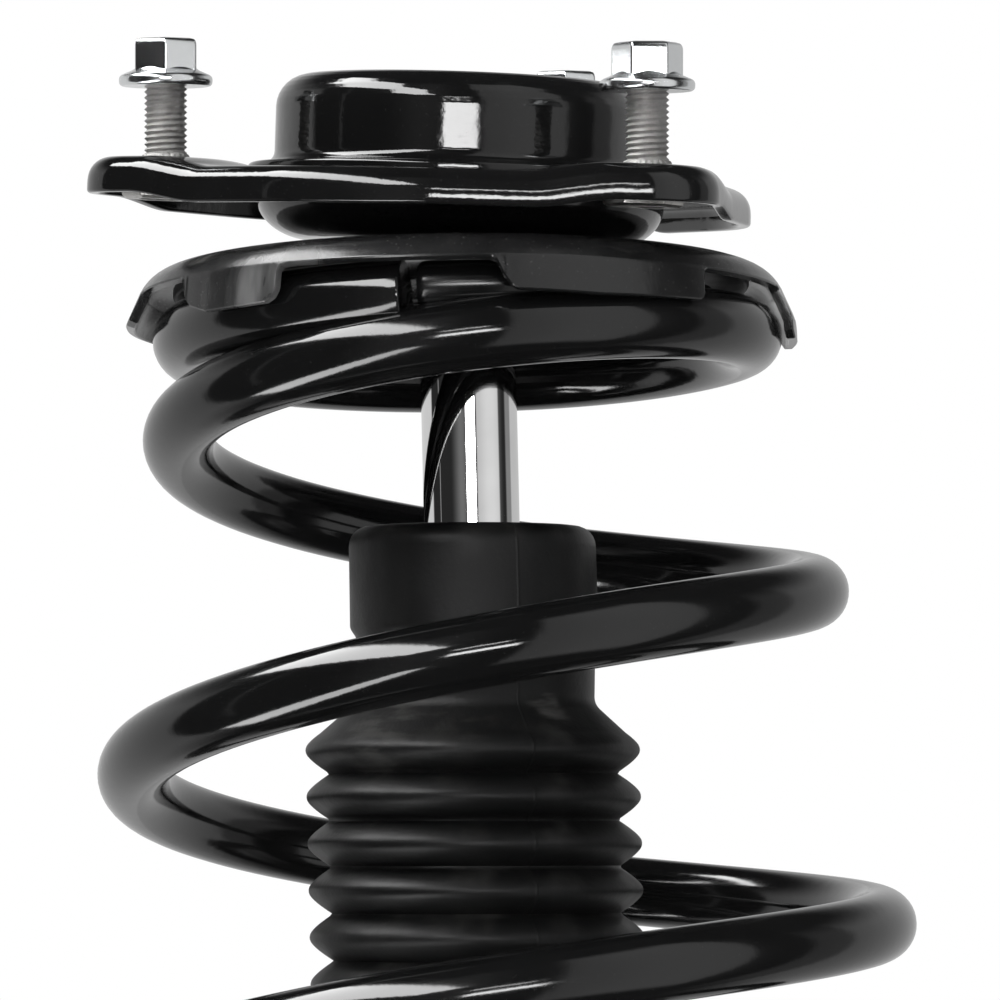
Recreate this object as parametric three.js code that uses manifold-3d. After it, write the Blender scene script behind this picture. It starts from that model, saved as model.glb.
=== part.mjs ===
// A complete front suspension strut: three-eared top mount with its steering bearing, spring seat,
// growing-radius coil spring, twin-tube damper with dust boot, and a clevis for the knuckle.
// Millimetres. +Z runs up the piston rod, and the origin is on the rod's axis, at the plane of the
// ears that bolt to the car's strut tower. -Y is the front, +X is the side of the knuckle clevis.

import * as THREE from 'three';
import { mergeVertices } from 'three/addons/utils/BufferGeometryUtils.js';
import Module from 'manifold-3d';

const wasm = await Module();
wasm.setup();

// ---------------------------------------------------------------- driving dimensions

const GAP = 0.3; // between two pieces that touch
const TURN = 2 * Math.PI;
const ROUND = 28; // sides of a large round
const SMALL_ROUND = 16; // sides of a small or hidden round

// Top mount. It leans in its rubber, so it isn't square to the rod.
const MOUNT_PITCH = THREE.MathUtils.degToRad(2.5); // front down
const MOUNT_ROLL = THREE.MathUtils.degToRad(3.25); // right side down
const MOUNT_ASIDE = -1.6; // the mount's centre, to the left of the rod
const PLATE_RADIUS = 68;
const PLATE_TOP = -2.4;
const SHEET = 3;
const LIP_DEPTH = 8;
const EAR_RADIUS = 17.1;
const PAD_RADIUS = 14;
const BOLT_CIRCLE = 67.9;
const BOLTS = {
  left: { azimuth: 188.2, cornerFirst: true },
  right: { azimuth: 308.2, cornerFirst: false },
  rear: { azimuth: 68.2, cornerFirst: true },
};
const BOLT_HOLE = 5.4;
const THREAD_RADIUS = 4.9;
const BOLT_LENGTH = 25.6;
const BOLT_STANDS = 16.6; // flange above the ear
const FLANGE_RADIUS = 10.75;
const HEX_FLATS = 14;
const FLANGE_HEIGHT = 3.9;
const HEAD_HEIGHT = 10.9;
const WELD_NUT_FLATS = 16;
const WELD_NUT_HEIGHT = 6;

const CUP_RADIUS = 42;
const CUP_HEIGHT = 20.9;
const CUP_SHEET = 2.3;
const CUP_TOP_CORNER = 7.5;
const CUP_OPENING = 22;
const CUP_FLANGE = 48;
const BOWL_ASIDE = 1; // the bowl's centre, to the right of the cup's
const BOWL_RADIUS = 47;
const BOWL_BOTTOM = -17;
const BOWL_BOTTOM_RADIUS = 34;
const BOWL_BOTTOM_RISE = 10; // height of the rounding between the bowl's bottom and its side
const BOWL_OPENING = 31;

// Steering bearing, on the rod's own axis
const BEARING_TOP = -2;
const BEARING_BOTTOM = -14;
const BALL_CIRCLE = 17;
const BALL_RADIUS = 3.6;
const BALL_SLACK = 0.7;
const BALLS = 8;
const INNER_RACE_OUTSIDE = 14.5;
const OUTER_RACE_INSIDE = 19.5;
const OUTER_RACE_OUTSIDE = 26;

// Piston rod
const ROD_RADIUS = 11;
const STUB_RADIUS = 7;
const STUB_TOP = 14;
const ROD_SHOULDER = -26.5;
const ROD_BOTTOM = -373;
const SPIGOT_RADIUS = 6;
const SPIGOT_BOTTOM = -408;
const NUT_FLATS = 22;

// Upper spring seat
const SEAT_PITCH = THREE.MathUtils.degToRad(-3); // front up
const SEAT_ROLL = THREE.MathUtils.degToRad(0.9); // right side down
const SEAT_ASIDE = -1.2; // centre of the seat and of the coil's top turn, left of the rod
const SEAT_RADIUS = 74;
const SEAT_TOP = -22.6;
const SEAT_SHEET = 2.2;
const SEAT_CORNER = 10;
const SEAT_FALL = 0.6; // from the flat to the start of the rolled rim
const RIM_FLARE = 23; // degrees from upright at the rim's edge
const HUB_RADIUS = 19;
const HUB_TOP = -21.6;
const HUB_BOTTOM = -26.2;
const TABS = [
  // azimuth range in degrees from the front towards +X, length, and splay in degrees
  { from: -57.2, to: -33.6, length: 8.7, splay: 5 },
  { from: 6.8, to: 47.4, length: 7.8, splay: 5 },
  { from: 78, to: 100, length: 11.8, splay: 17.5 },
  { from: -110, to: -80, length: 7.3, splay: 20 },
  { from: 139, to: 165, length: 7, splay: 17 },
  { from: -155, to: -127, length: 7, splay: 17 },
];

// Coil spring. Turns are counted from the upper tip, going down.
const WIRE_RADIUS = 8.15;
const COIL_TURNS = 5.6;
const TIP_AZIMUTH = -12.8; // degrees from the front towards +X
const COIL_TOP = -38.2; // centre of the wire in the flat top turn
const PITCH = 75;
const TOP_TURN_RADIUS = 63;
const MIDDLE_TURN_GROWTH = 27.5;
const BOTTOM_TURN_RADIUS = 80;
const COIL_DRIFT = 2; // sideways drift of the coil's centre, for each turn
const COIL_SWAY = 1.2; // unevenness of the pitch
const COIL_LEAN = THREE.MathUtils.degToRad(4.1); // the top turns stand front up
const WIRE_STEPS = 30; // lengths the wire is built of, for each turn

// Dust boot and bump stop
const BOOT_TOP = -82;
const BOOT_CAP_RADIUS = 28.3;
const BOOT_CAP_BOTTOM = -106;
const BOOT_NECK_RADIUS = 27.6;
const BOOT_NECK_BOTTOM = -126.5;
const BELLOWS_PEAK = 38.6;
const BELLOWS_VALLEY = 32.9;
const BELLOWS_PITCH = 10.7;
const FIRST_PEAK = -133.3;
const BELLOWS = 15;
const BOOT_BOTTOM = -302;

// Damper
const TUBE_RADIUS = 25.5;
const TUBE_WALL = 2.5;
const TUBE_TOP = -249;
const TUBE_BOTTOM = -545;
const BORE_RADIUS = 16;
const LOWER_SEAT_TOP = -334.5;
const LOWER_SEAT_RADIUS = 93;

// Brackets
const CLEVIS_TOP = -442;
const CLEVIS_BOTTOM = -552;
const CLEVIS_SHEET = 5;
const CLEVIS_HALF_GAP = 16;
const CLEVIS_REACH = 78;
const CLEVIS_BOLT_X = 58;
const CLEVIS_BOLT_HOLE = 7.2;
const CLEVIS_BOLT_HEIGHTS = [-466, -528];

// ---------------------------------------------------------------- materials

function finish(color, roughness, metalness) {
  return new THREE.MeshStandardMaterial({ color, roughness, metalness });
}

const glossBlack = finish('#0c0c0d', 0.12, 0.2);
const satinBlack = finish('#161617', 0.35, 0.2);
const mattRubber = finish('#1d1e20', 0.85, 0);
const foam = finish('#c9b458', 0.9, 0);
const chrome = finish('#d9dadc', 0.06, 1);
const zinc = finish('#b9bcc0', 0.3, 1);
const bearingSteel = finish('#a7a9ad', 0.2, 1);
const bareSteel = finish('#8b8d91', 0.4, 1);
const plastic = finish('#2b2b2e', 0.6, 0);

// ---------------------------------------------------------------- geometry helpers

function facesOut(geometry) {
  const position = geometry.attributes.position;
  const index = geometry.index.array;
  const [a, b, c] = [new THREE.Vector3(), new THREE.Vector3(), new THREE.Vector3()];
  let volume = 0;
  for (let i = 0; i < index.length; i += 3) {
    a.fromBufferAttribute(position, index[i]);
    b.fromBufferAttribute(position, index[i + 1]);
    c.fromBufferAttribute(position, index[i + 2]);
    volume += a.dot(b.cross(c));
  }
  if (volume < 0) {
    for (let i = 0; i < index.length; i += 3) {
      [index[i + 1], index[i + 2]] = [index[i + 2], index[i + 1]];
    }
  }
  return geometry;
}

// Shared corners merged, slivers with no area dropped, faces pointing out.
function closed(geometry) {
  let plain = geometry.clone();
  plain.deleteAttribute('normal');
  plain.deleteAttribute('uv');
  plain = mergeVertices(plain, 1e-4);
  const old = plain.index.array;
  const kept = [];
  for (let i = 0; i < old.length; i += 3) {
    const [a, b, c] = [old[i], old[i + 1], old[i + 2]];
    if (a !== b && b !== c && c !== a) {
      kept.push(a, b, c);
    }
  }
  plain.setIndex(kept);
  return facesOut(plain);
}

function solid(geometry) {
  const plain = closed(geometry);
  return new wasm.Manifold(new wasm.Mesh({
    numProp: 3,
    vertProperties: new Float32Array(plain.attributes.position.array),
    triVerts: new Uint32Array(plain.index.array),
  }));
}

function fromSolid(body) {
  const mesh = body.getMesh();
  const geometry = new THREE.BufferGeometry();
  geometry.setAttribute('position', new THREE.BufferAttribute(mesh.vertProperties, 3));
  geometry.setIndex(new THREE.BufferAttribute(mesh.triVerts, 1));
  return geometry;
}

function cut(geometry, ...tools) {
  return fromSolid(tools.reduce((body, tool) => body.subtract(solid(tool)), solid(geometry)));
}

function join(geometry, ...others) {
  return fromSolid(others.reduce((body, other) => body.add(solid(other)), solid(geometry)));
}

// A solid of revolution about Z. The profile is a list of [radius, height] corners. A ring's
// profile is closed on itself here, and a solid one's starts and ends on the axis.
function turned(profile, sides = ROUND) {
  const corners = profile.map(([radius, height]) => new THREE.Vector2(radius, height));
  const touchesAxis = profile[0][0] === 0 && profile.at(-1)[0] === 0;
  if (!touchesAxis) {
    corners.push(corners[0].clone());
  }
  return closed(new THREE.LatheGeometry(corners, sides).rotateX(Math.PI / 2));
}

function ring(inside, outside, bottom, top, sides = ROUND) {
  return turned([[inside, bottom], [outside, bottom], [outside, top], [inside, top]], sides);
}

function rod(radius, bottom, top, sides = SMALL_ROUND) {
  return turned([[0, bottom], [radius, bottom], [radius, top], [0, top]], sides);
}

// Corners of an arc in a profile, from one angle to another, in degrees. Its half height is its
// half width unless another one is given.
function arc(radius, height, size, from, to, steps = 4, rise = size) {
  const corners = [];
  for (let i = 0; i <= steps; i++) {
    const angle = THREE.MathUtils.degToRad(from + ((to - from) * i) / steps);
    corners.push([radius + size * Math.cos(angle), height + rise * Math.sin(angle)]);
  }
  return corners;
}

function prism(outline, bottom, top) {
  const shape = outline instanceof THREE.Shape ? outline : new THREE.Shape(outline);
  const geometry = new THREE.ExtrudeGeometry(shape, { depth: top - bottom, bevelEnabled: false });
  return geometry.translate(0, 0, bottom);
}

function hexPrism(flats, bottom, top, firstCorner = 0) {
  const corner = flats / 2 / Math.cos(TURN / 12);
  const outline = [];
  for (let i = 0; i < 6; i++) {
    const angle = firstCorner + (TURN * i) / 6;
    outline.push(new THREE.Vector2(corner * Math.cos(angle), corner * Math.sin(angle)));
  }
  return prism(outline, bottom, top);
}

// Leans a geometry about the point of the rod's axis at a height.
function leaned(geometry, pitch, roll, height = 0) {
  const lean = new THREE.Matrix4().makeRotationFromEuler(new THREE.Euler(pitch, roll, 0));
  return geometry.translate(0, 0, -height).applyMatrix4(lean).translate(0, 0, height);
}

const group = new THREE.Group();

function part(name, geometry, material, parent = group) {
  const mesh = new THREE.Mesh(geometry, material);
  mesh.name = name;
  parent.add(mesh);
  return mesh;
}

// ---------------------------------------------------------------- top mount

const mount = new THREE.Group();
mount.rotation.set(MOUNT_PITCH, MOUNT_ROLL, 0);
mount.position.set(MOUNT_ASIDE, 0, 0);
group.add(mount);

function boltPlace(azimuth) {
  const angle = THREE.MathUtils.degToRad(azimuth);
  return [BOLT_CIRCLE * Math.cos(angle), BOLT_CIRCLE * Math.sin(angle)];
}

// The plate's outline, drawn in by an inset: a band stretched round the disc and the three ears.
function plateOutline(inset) {
  const steps = 72;
  const disc = PLATE_RADIUS - inset;
  const ear = EAR_RADIUS - inset;
  const tangent = Math.acos((disc - ear) / BOLT_CIRCLE);
  const touch = Math.atan2(ear * Math.sin(tangent), BOLT_CIRCLE + ear * Math.cos(tangent));
  const outline = [];
  for (let i = 0; i < steps; i++) {
    const angle = (TURN * i) / steps;
    let radius = disc;
    for (const { azimuth } of Object.values(BOLTS)) {
      const turned = angle - THREE.MathUtils.degToRad(azimuth);
      const away = Math.abs(Math.atan2(Math.sin(turned), Math.cos(turned)));
      if (away < touch) {
        radius = BOLT_CIRCLE * Math.cos(away) + Math.sqrt(ear ** 2 - (BOLT_CIRCLE * Math.sin(away)) ** 2);
      } else if (away < tangent) {
        radius = disc / Math.cos(tangent - away);
      }
    }
    outline.push(new THREE.Vector2(radius * Math.cos(angle), radius * Math.sin(angle)));
  }
  return outline;
}

function mountPlate() {
  const lipBottom = PLATE_TOP - LIP_DEPTH;
  const pads = [];
  const recesses = [];
  for (const { azimuth } of Object.values(BOLTS)) {
    const [x, y] = boltPlace(azimuth);
    pads.push(rod(PAD_RADIUS, PLATE_TOP - 1, 0).translate(x, y, 0));
    recesses.push(rod(PAD_RADIUS - SHEET, lipBottom - 1, -SHEET).translate(x, y, 0));
    recesses.push(rod(BOLT_HOLE, lipBottom - 1, 1).translate(x, y, 0));
  }
  const hollow = prism(plateOutline(SHEET), lipBottom - 1, PLATE_TOP - SHEET);
  const centreHole = rod(CUP_RADIUS - 1.8, lipBottom - 1, 1, ROUND);
  return cut(join(prism(plateOutline(0), lipBottom, PLATE_TOP), ...pads), hollow, centreHole, ...recesses);
}

function upperCup() {
  const floor = PLATE_TOP + GAP;
  const inner = CUP_RADIUS - CUP_SHEET;
  return turned([
    [inner, floor],
    [CUP_FLANGE, floor],
    [CUP_FLANGE, floor + CUP_SHEET],
    ...arc(CUP_RADIUS + 3, floor + CUP_SHEET + 3, 3, 270, 180, 3),
    ...arc(CUP_RADIUS - CUP_TOP_CORNER, CUP_HEIGHT - CUP_TOP_CORNER, CUP_TOP_CORNER, 0, 90),
    [CUP_OPENING, CUP_HEIGHT],
    [CUP_OPENING, CUP_HEIGHT - CUP_SHEET],
    ...arc(CUP_RADIUS - CUP_TOP_CORNER, CUP_HEIGHT - CUP_TOP_CORNER, CUP_TOP_CORNER - CUP_SHEET, 90, 0),
  ]);
}

function lowerCup() {
  const ceiling = PLATE_TOP - SHEET - GAP;
  const width = BOWL_RADIUS - BOWL_BOTTOM_RADIUS;
  const rise = BOWL_BOTTOM_RISE;
  const centre = [BOWL_BOTTOM_RADIUS, BOWL_BOTTOM + rise];
  return turned([
    [BOWL_RADIUS, ceiling],
    ...arc(...centre, width, 0, -90, 6, rise),
    [BOWL_OPENING, BOWL_BOTTOM],
    [BOWL_OPENING, BOWL_BOTTOM + CUP_SHEET],
    ...arc(...centre, width - CUP_SHEET, -90, 0, 6, rise - CUP_SHEET),
    [BOWL_RADIUS - CUP_SHEET, ceiling],
  ]);
}

// The rubber fills the cups on the outside and holds the bearing square to the rod on the inside.
function mountRubber() {
  const outside = CUP_RADIUS - CUP_SHEET - 0.5;
  const bottom = BOWL_BOTTOM + CUP_SHEET + 0.6;
  const block = turned([[23, bottom], [outside - 3.5, bottom], [outside, bottom + 5], [outside, 8], [23, 8]]);
  const body = leaned(block, MOUNT_PITCH, MOUNT_ROLL);
  body.translate(MOUNT_ASIDE, 0, 0);
  const seat = rod(OUTER_RACE_OUTSIDE + GAP, BOWL_BOTTOM - 5, BEARING_TOP + GAP, ROUND);
  return cut(body, seat);
}

function flangeBolt(cornerFirst) {
  const underHead = BOLT_STANDS;
  const head = hexPrism(HEX_FLATS, underHead + 2, underHead + HEAD_HEIGHT, cornerFirst ? TURN / 4 : 0);
  const shank = turned([
    [0, underHead - BOLT_LENGTH],
    [THREAD_RADIUS - 1, underHead - BOLT_LENGTH],
    [THREAD_RADIUS, underHead - BOLT_LENGTH + 1],
    [THREAD_RADIUS, underHead],
    [FLANGE_RADIUS, underHead],
    [FLANGE_RADIUS, underHead + 1.4],
    [HEX_FLATS / 2 + 0.4, underHead + FLANGE_HEIGHT],
    [0, underHead + FLANGE_HEIGHT],
  ], SMALL_ROUND);
  return join(head, shank);
}

function weldNut() {
  const top = -SHEET - GAP;
  const hole = rod(THREAD_RADIUS + GAP, top - WELD_NUT_HEIGHT - 1, top + 1);
  return cut(hexPrism(WELD_NUT_FLATS, top - WELD_NUT_HEIGHT, top), hole);
}

part('mount_plate', mountPlate(), glossBlack, mount);
part('mount_upper_cup', upperCup(), glossBlack, mount);
part('mount_lower_cup', lowerCup(), glossBlack, mount).position.setX(BOWL_ASIDE);
part('mount_rubber', mountRubber(), mattRubber);
for (const [side, { azimuth, cornerFirst }] of Object.entries(BOLTS)) {
  const [x, y] = boltPlace(azimuth);
  part(`flange_bolt_${side}`, flangeBolt(cornerFirst), zinc, mount).position.set(x, y, 0);
  part(`weld_nut_${side}`, weldNut(), zinc, mount).position.set(x, y, 0);
}

// ---------------------------------------------------------------- steering bearing

const BALL_HEIGHT = (BEARING_TOP + BEARING_BOTTOM) / 2;
const GROOVE = BALL_RADIUS + BALL_SLACK;
// Angle at which the ball's groove meets a race's face, seen from the ball's centre.
const INNER_GROOVE_HALF = THREE.MathUtils.radToDeg(Math.acos((BALL_CIRCLE - INNER_RACE_OUTSIDE) / GROOVE));
const OUTER_GROOVE_HALF = THREE.MathUtils.radToDeg(Math.acos((OUTER_RACE_INSIDE - BALL_CIRCLE) / GROOVE));

function innerRace() {
  return turned([
    [STUB_RADIUS + GAP, BEARING_BOTTOM],
    [INNER_RACE_OUTSIDE, BEARING_BOTTOM],
    ...arc(BALL_CIRCLE, BALL_HEIGHT, GROOVE, 180 + INNER_GROOVE_HALF, 180 - INNER_GROOVE_HALF, 3),
    [INNER_RACE_OUTSIDE, BEARING_TOP],
    [STUB_RADIUS + GAP, BEARING_TOP],
  ], SMALL_ROUND);
}

function outerRace() {
  return turned([
    [OUTER_RACE_OUTSIDE, BEARING_BOTTOM],
    [OUTER_RACE_OUTSIDE, BEARING_TOP],
    [OUTER_RACE_INSIDE, BEARING_TOP],
    ...arc(BALL_CIRCLE, BALL_HEIGHT, GROOVE, OUTER_GROOVE_HALF, -OUTER_GROOVE_HALF, 3),
    [OUTER_RACE_INSIDE, BEARING_BOTTOM],
  ], SMALL_ROUND);
}

function ballCage() {
  const slack = 0.8;
  const band = ring(
    INNER_RACE_OUTSIDE + slack, OUTER_RACE_INSIDE - slack, BALL_HEIGHT - 1.5, BALL_HEIGHT + 1.5, SMALL_ROUND,
  );
  const balls = [];
  for (let i = 0; i < BALLS; i++) {
    const angle = (TURN * i) / BALLS;
    const ball = new THREE.SphereGeometry(BALL_RADIUS, 8, 5);
    balls.push(ball.translate(BALL_CIRCLE * Math.cos(angle), BALL_CIRCLE * Math.sin(angle), BALL_HEIGHT));
  }
  return join(band, ...balls);
}

part('bearing_outer_race', outerRace(), bearingSteel);
part('bearing_ball_cage', ballCage(), bearingSteel);
part('bearing_inner_race', innerRace(), bearingSteel);
part('bearing_spacer', ring(STUB_RADIUS + GAP, 12, HUB_TOP + GAP, BEARING_BOTTOM - GAP, SMALL_ROUND), bareSteel);

// ---------------------------------------------------------------- piston rod and its nut

const WASHER_TOP = BEARING_TOP + GAP + 2.5;

function pistonRod() {
  return turned([
    [0, SPIGOT_BOTTOM],
    [SPIGOT_RADIUS, SPIGOT_BOTTOM],
    [SPIGOT_RADIUS, ROD_BOTTOM],
    [ROD_RADIUS, ROD_BOTTOM],
    [ROD_RADIUS, ROD_SHOULDER - 1],
    [ROD_RADIUS - 1, ROD_SHOULDER],
    [STUB_RADIUS, ROD_SHOULDER],
    [STUB_RADIUS, STUB_TOP - 1],
    [STUB_RADIUS - 1, STUB_TOP],
    [0, STUB_TOP],
  ], 24);
}

function rodNut() {
  const bottom = WASHER_TOP + GAP;
  return cut(hexPrism(NUT_FLATS, bottom, 12), rod(STUB_RADIUS + GAP, bottom - 1, 13));
}

part('piston_rod', pistonRod(), chrome);
part('rod_washer', ring(STUB_RADIUS + GAP, 17, BEARING_TOP + GAP, WASHER_TOP, SMALL_ROUND), zinc);
part('rod_nut', rodNut(), zinc);

// ---------------------------------------------------------------- upper spring seat

// The rim is rolled over about this circle, down to its flared edge.
const RIM_CENTRE = [
  SEAT_RADIUS - SEAT_CORNER * Math.cos(THREE.MathUtils.degToRad(RIM_FLARE)),
  SEAT_TOP - SEAT_FALL - SEAT_CORNER,
];
const SEAT_RIM_BOTTOM = RIM_CENTRE[1] + SEAT_CORNER * Math.sin(THREE.MathUtils.degToRad(RIM_FLARE));

// One hanging tab: a piece of a cone's wall between two azimuths, as thick as the sheet.
function seatTab({ from, to, length, splay }) {
  const slope = Math.tan(THREE.MathUtils.degToRad(splay));
  const reach = slope * length;
  const root = 1.2; // how far the tab runs up into the rim
  const bottom = SEAT_RIM_BOTTOM - length;
  const start = THREE.MathUtils.degToRad(from - 90);
  const sweep = THREE.MathUtils.degToRad(to - from);
  const wall = turned([
    [SEAT_RADIUS - SEAT_SHEET - 0.3, SEAT_RIM_BOTTOM + root],
    [SEAT_RADIUS - SEAT_SHEET + reach, bottom],
    [SEAT_RADIUS + reach, bottom],
    [SEAT_RADIUS - 0.05, SEAT_RIM_BOTTOM],
    [SEAT_RADIUS - 0.7, SEAT_RIM_BOTTOM + root],
  ], 36);
  const far = 2 * SEAT_RADIUS;
  const sector = new THREE.Shape();
  sector.moveTo(0, 0);
  for (let i = 0; i <= 3; i++) {
    const angle = start + (sweep * i) / 3;
    sector.lineTo(far * Math.cos(angle), far * Math.sin(angle));
  }
  return fromSolid(solid(wall).intersect(solid(prism(sector, bottom - 5, SEAT_RIM_BOTTOM + 5))));
}

function springSeat() {
  const dish = turned([
    [HUB_RADIUS - 5, SEAT_TOP],
    [55, SEAT_TOP],
    ...arc(...RIM_CENTRE, SEAT_CORNER, 90, RIM_FLARE, 5),
    ...arc(...RIM_CENTRE, SEAT_CORNER - SEAT_SHEET, RIM_FLARE, 90, 5),
    [55, SEAT_TOP - SEAT_SHEET],
    [HUB_RADIUS - 5, SEAT_TOP - SEAT_SHEET],
  ], 36);
  const stamped = leaned(join(dish, ...TABS.map(seatTab)), SEAT_PITCH, SEAT_ROLL, SEAT_TOP);
  stamped.translate(SEAT_ASIDE, 0, 0);
  const hub = rod(HUB_RADIUS, HUB_BOTTOM, HUB_TOP);
  return cut(join(stamped, hub), rod(STUB_RADIUS + GAP, HUB_BOTTOM - 5, HUB_TOP + 5));
}

// A rubber ring whose top lies against the leaning seat and whose foot lies on the leaning coil.
function upperIsolator() {
  const blank = ring(55, 66, -50, -10).translate(SEAT_ASIDE, 0, 0);
  const slab = 60;
  const above = new THREE.BoxGeometry(300, 300, slab).translate(0, 0, SEAT_TOP - SEAT_SHEET - 1 + slab / 2);
  const below = new THREE.BoxGeometry(300, 300, slab).translate(0, 0, COIL_TOP + WIRE_RADIUS + 1 - slab / 2);
  return cut(blank, leaned(above, SEAT_PITCH, SEAT_ROLL, SEAT_TOP), leaned(below, -COIL_LEAN, 0, COIL_TOP));
}

part('upper_spring_seat', springSeat(), satinBlack);
part('upper_isolator', upperIsolator(), mattRubber);

// ---------------------------------------------------------------- coil spring

function clamp01(value) {
  return Math.min(1, Math.max(0, value));
}

// Rises smoothly from 0 and then one for one, past a start.
function softRamp(value, start, width) {
  const past = value - start;
  return (past + Math.hypot(past, width)) / 2;
}

const RAMP_START = 0.6; // turns from either tip to where the pitch starts to grow
const RAMP_END = 1.2; // turns from either tip to where the full pitch is reached

// Drop along the coil, in turns' worth of pitch, where the pitch fades in from one tip.
function fadedIn(turns) {
  const within = clamp01((turns - RAMP_START) / (RAMP_END - RAMP_START));
  return ((RAMP_END - RAMP_START) * within * within) / 2 + Math.max(0, turns - RAMP_END);
}

const COIL_DROP = PITCH * (COIL_TURNS - RAMP_START - RAMP_END);
const COIL_BOTTOM = COIL_TOP - COIL_DROP;

function coilDrop(turns) {
  const half = COIL_TURNS / 2;
  return turns < half ? PITCH * fadedIn(turns) : COIL_DROP - PITCH * fadedIn(COIL_TURNS - turns);
}

function coilRadius(turns) {
  const grown = Math.sin((Math.PI / 2) * clamp01(softRamp(turns, 0.95, 0.25) / 2.6));
  const shrunk = THREE.MathUtils.smoothstep(turns, 3.4, COIL_TURNS - 0.9);
  const middle = TOP_TURN_RADIUS + MIDDLE_TURN_GROWTH * grown;
  return middle + (BOTTOM_TURN_RADIUS - middle) * shrunk;
}

class CoilPath extends THREE.Curve {
  getPoint(u, target = new THREE.Vector3()) {
    const turns = COIL_TURNS * u;
    const angle = THREE.MathUtils.degToRad(TIP_AZIMUTH) - TURN * turns;
    const radius = coilRadius(turns);
    const upright = THREE.MathUtils.smoothstep(turns, 2.8, COIL_TURNS - 0.9);
    const aside = (SEAT_ASIDE + COIL_DRIFT * turns) * (1 - upright);
    const y = -radius * Math.cos(angle);
    const lean = -y * Math.tan(COIL_LEAN) + COIL_SWAY * Math.cos((TURN * (turns - 1.5)) / 1.8);
    const z = COIL_TOP - coilDrop(turns) + lean * (1 - upright);
    return target.set(radius * Math.sin(angle) + aside, y, z);
  }
}

function coilSpring() {
  const sides = 8;
  const corner = WIRE_RADIUS + 0.15; // keeps the many-sided wire as thick as the round one
  const section = [];
  for (let i = 0; i < sides; i++) {
    const angle = (TURN * i) / sides;
    section.push(new THREE.Vector2(corner * Math.cos(angle), corner * Math.sin(angle)));
  }
  const path = new CoilPath();
  path.arcLengthDivisions = 800;
  return new THREE.ExtrudeGeometry(new THREE.Shape(section), { steps: COIL_TURNS * WIRE_STEPS, extrudePath: path });
}

function lowerSeat() {
  const low = LOWER_SEAT_TOP;
  const under = low - SEAT_SHEET;
  return turned([
    [TUBE_RADIUS + GAP, low + 8],
    [TUBE_RADIUS + GAP, under - 6],
    [TUBE_RADIUS + GAP + SEAT_SHEET, under - 6],
    [TUBE_RADIUS + 6, under],
    [LOWER_SEAT_RADIUS - 4, under],
    ...arc(LOWER_SEAT_RADIUS - 4, under + 4, 4, -90, 0, 3),
    [LOWER_SEAT_RADIUS, low + 10],
    [LOWER_SEAT_RADIUS - SEAT_SHEET, low + 10],
    [LOWER_SEAT_RADIUS - SEAT_SHEET, low + 2],
    [LOWER_SEAT_RADIUS - 4, low],
    [TUBE_RADIUS + 6, low],
    [TUBE_RADIUS + GAP + SEAT_SHEET, low + 8],
  ]);
}

part('coil_spring', coilSpring(), glossBlack);
part('lower_isolator', ring(70, 88, LOWER_SEAT_TOP + GAP, COIL_BOTTOM - WIRE_RADIUS - 0.7), mattRubber);
part('lower_spring_seat', lowerSeat(), glossBlack);

// ---------------------------------------------------------------- dust boot and bump stop

function dustBoot() {
  const outside = [
    [ROD_RADIUS + 0.5, BOOT_TOP],
    ...arc(BOOT_CAP_RADIUS - 5, BOOT_TOP - 5, 5, 90, 0, 3),
    [BOOT_CAP_RADIUS, BOOT_CAP_BOTTOM + 2],
    [BOOT_CAP_RADIUS - 2, BOOT_CAP_BOTTOM],
    [BOOT_NECK_RADIUS, BOOT_CAP_BOTTOM - 2],
    [BOOT_NECK_RADIUS, BOOT_NECK_BOTTOM],
  ];
  for (let i = 0; i <= BELLOWS; i++) {
    const peak = FIRST_PEAK - BELLOWS_PITCH * i;
    outside.push([BELLOWS_PEAK, peak], [BELLOWS_VALLEY, peak - BELLOWS_PITCH / 2]);
  }
  outside.push([BELLOWS_VALLEY, BOOT_BOTTOM]);
  const neckInside = BOOT_NECK_RADIUS - 2.2;
  const bellowsInside = BELLOWS_VALLEY - 2.2;
  const inside = [
    [bellowsInside, BOOT_BOTTOM],
    [bellowsInside, BOOT_NECK_BOTTOM - 5],
    [neckInside, BOOT_NECK_BOTTOM],
    [neckInside, BOOT_TOP - 4],
    [ROD_RADIUS + 0.5, BOOT_TOP - 4],
  ];
  return turned([...outside, ...inside], 18);
}

function bumpStop() {
  const hole = ROD_RADIUS + 0.4;
  return turned([
    [hole, -87],
    [24, -87],
    [24, -104],
    [21, -107],
    [24, -110],
    [24, -120],
    [19, -124],
    [22, -128],
    [20, -138],
    [15, -146],
    [hole, -146],
  ], SMALL_ROUND);
}

part('dust_boot', dustBoot(), mattRubber);
part('bump_stop', bumpStop(), foam);

// ---------------------------------------------------------------- damper

const BORE = TUBE_RADIUS - TUBE_WALL;
const GUIDE_BOTTOM = -275;

function glandCap() {
  return turned([
    [ROD_RADIUS + 1.5, TUBE_TOP + GAP],
    [TUBE_RADIUS + GAP, TUBE_TOP + GAP],
    [TUBE_RADIUS + GAP, TUBE_TOP - 9],
    [TUBE_RADIUS + GAP + 2, TUBE_TOP - 9],
    [TUBE_RADIUS + GAP + 2, TUBE_TOP + 1.5],
    [TUBE_RADIUS + GAP, TUBE_TOP + 3.5],
    [ROD_RADIUS + 1.5, TUBE_TOP + 3.5],
  ], 32);
}

function piston() {
  return turned([
    [SPIGOT_RADIUS + GAP, -395],
    [BORE_RADIUS - 0.8, -395],
    [BORE_RADIUS - 0.8, -389],
    [BORE_RADIUS - 2.6, -389],
    [BORE_RADIUS - 2.6, -380],
    [BORE_RADIUS - 0.8, -380],
    [BORE_RADIUS - 0.8, -375],
    [SPIGOT_RADIUS + GAP, -375],
  ], SMALL_ROUND);
}

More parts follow.
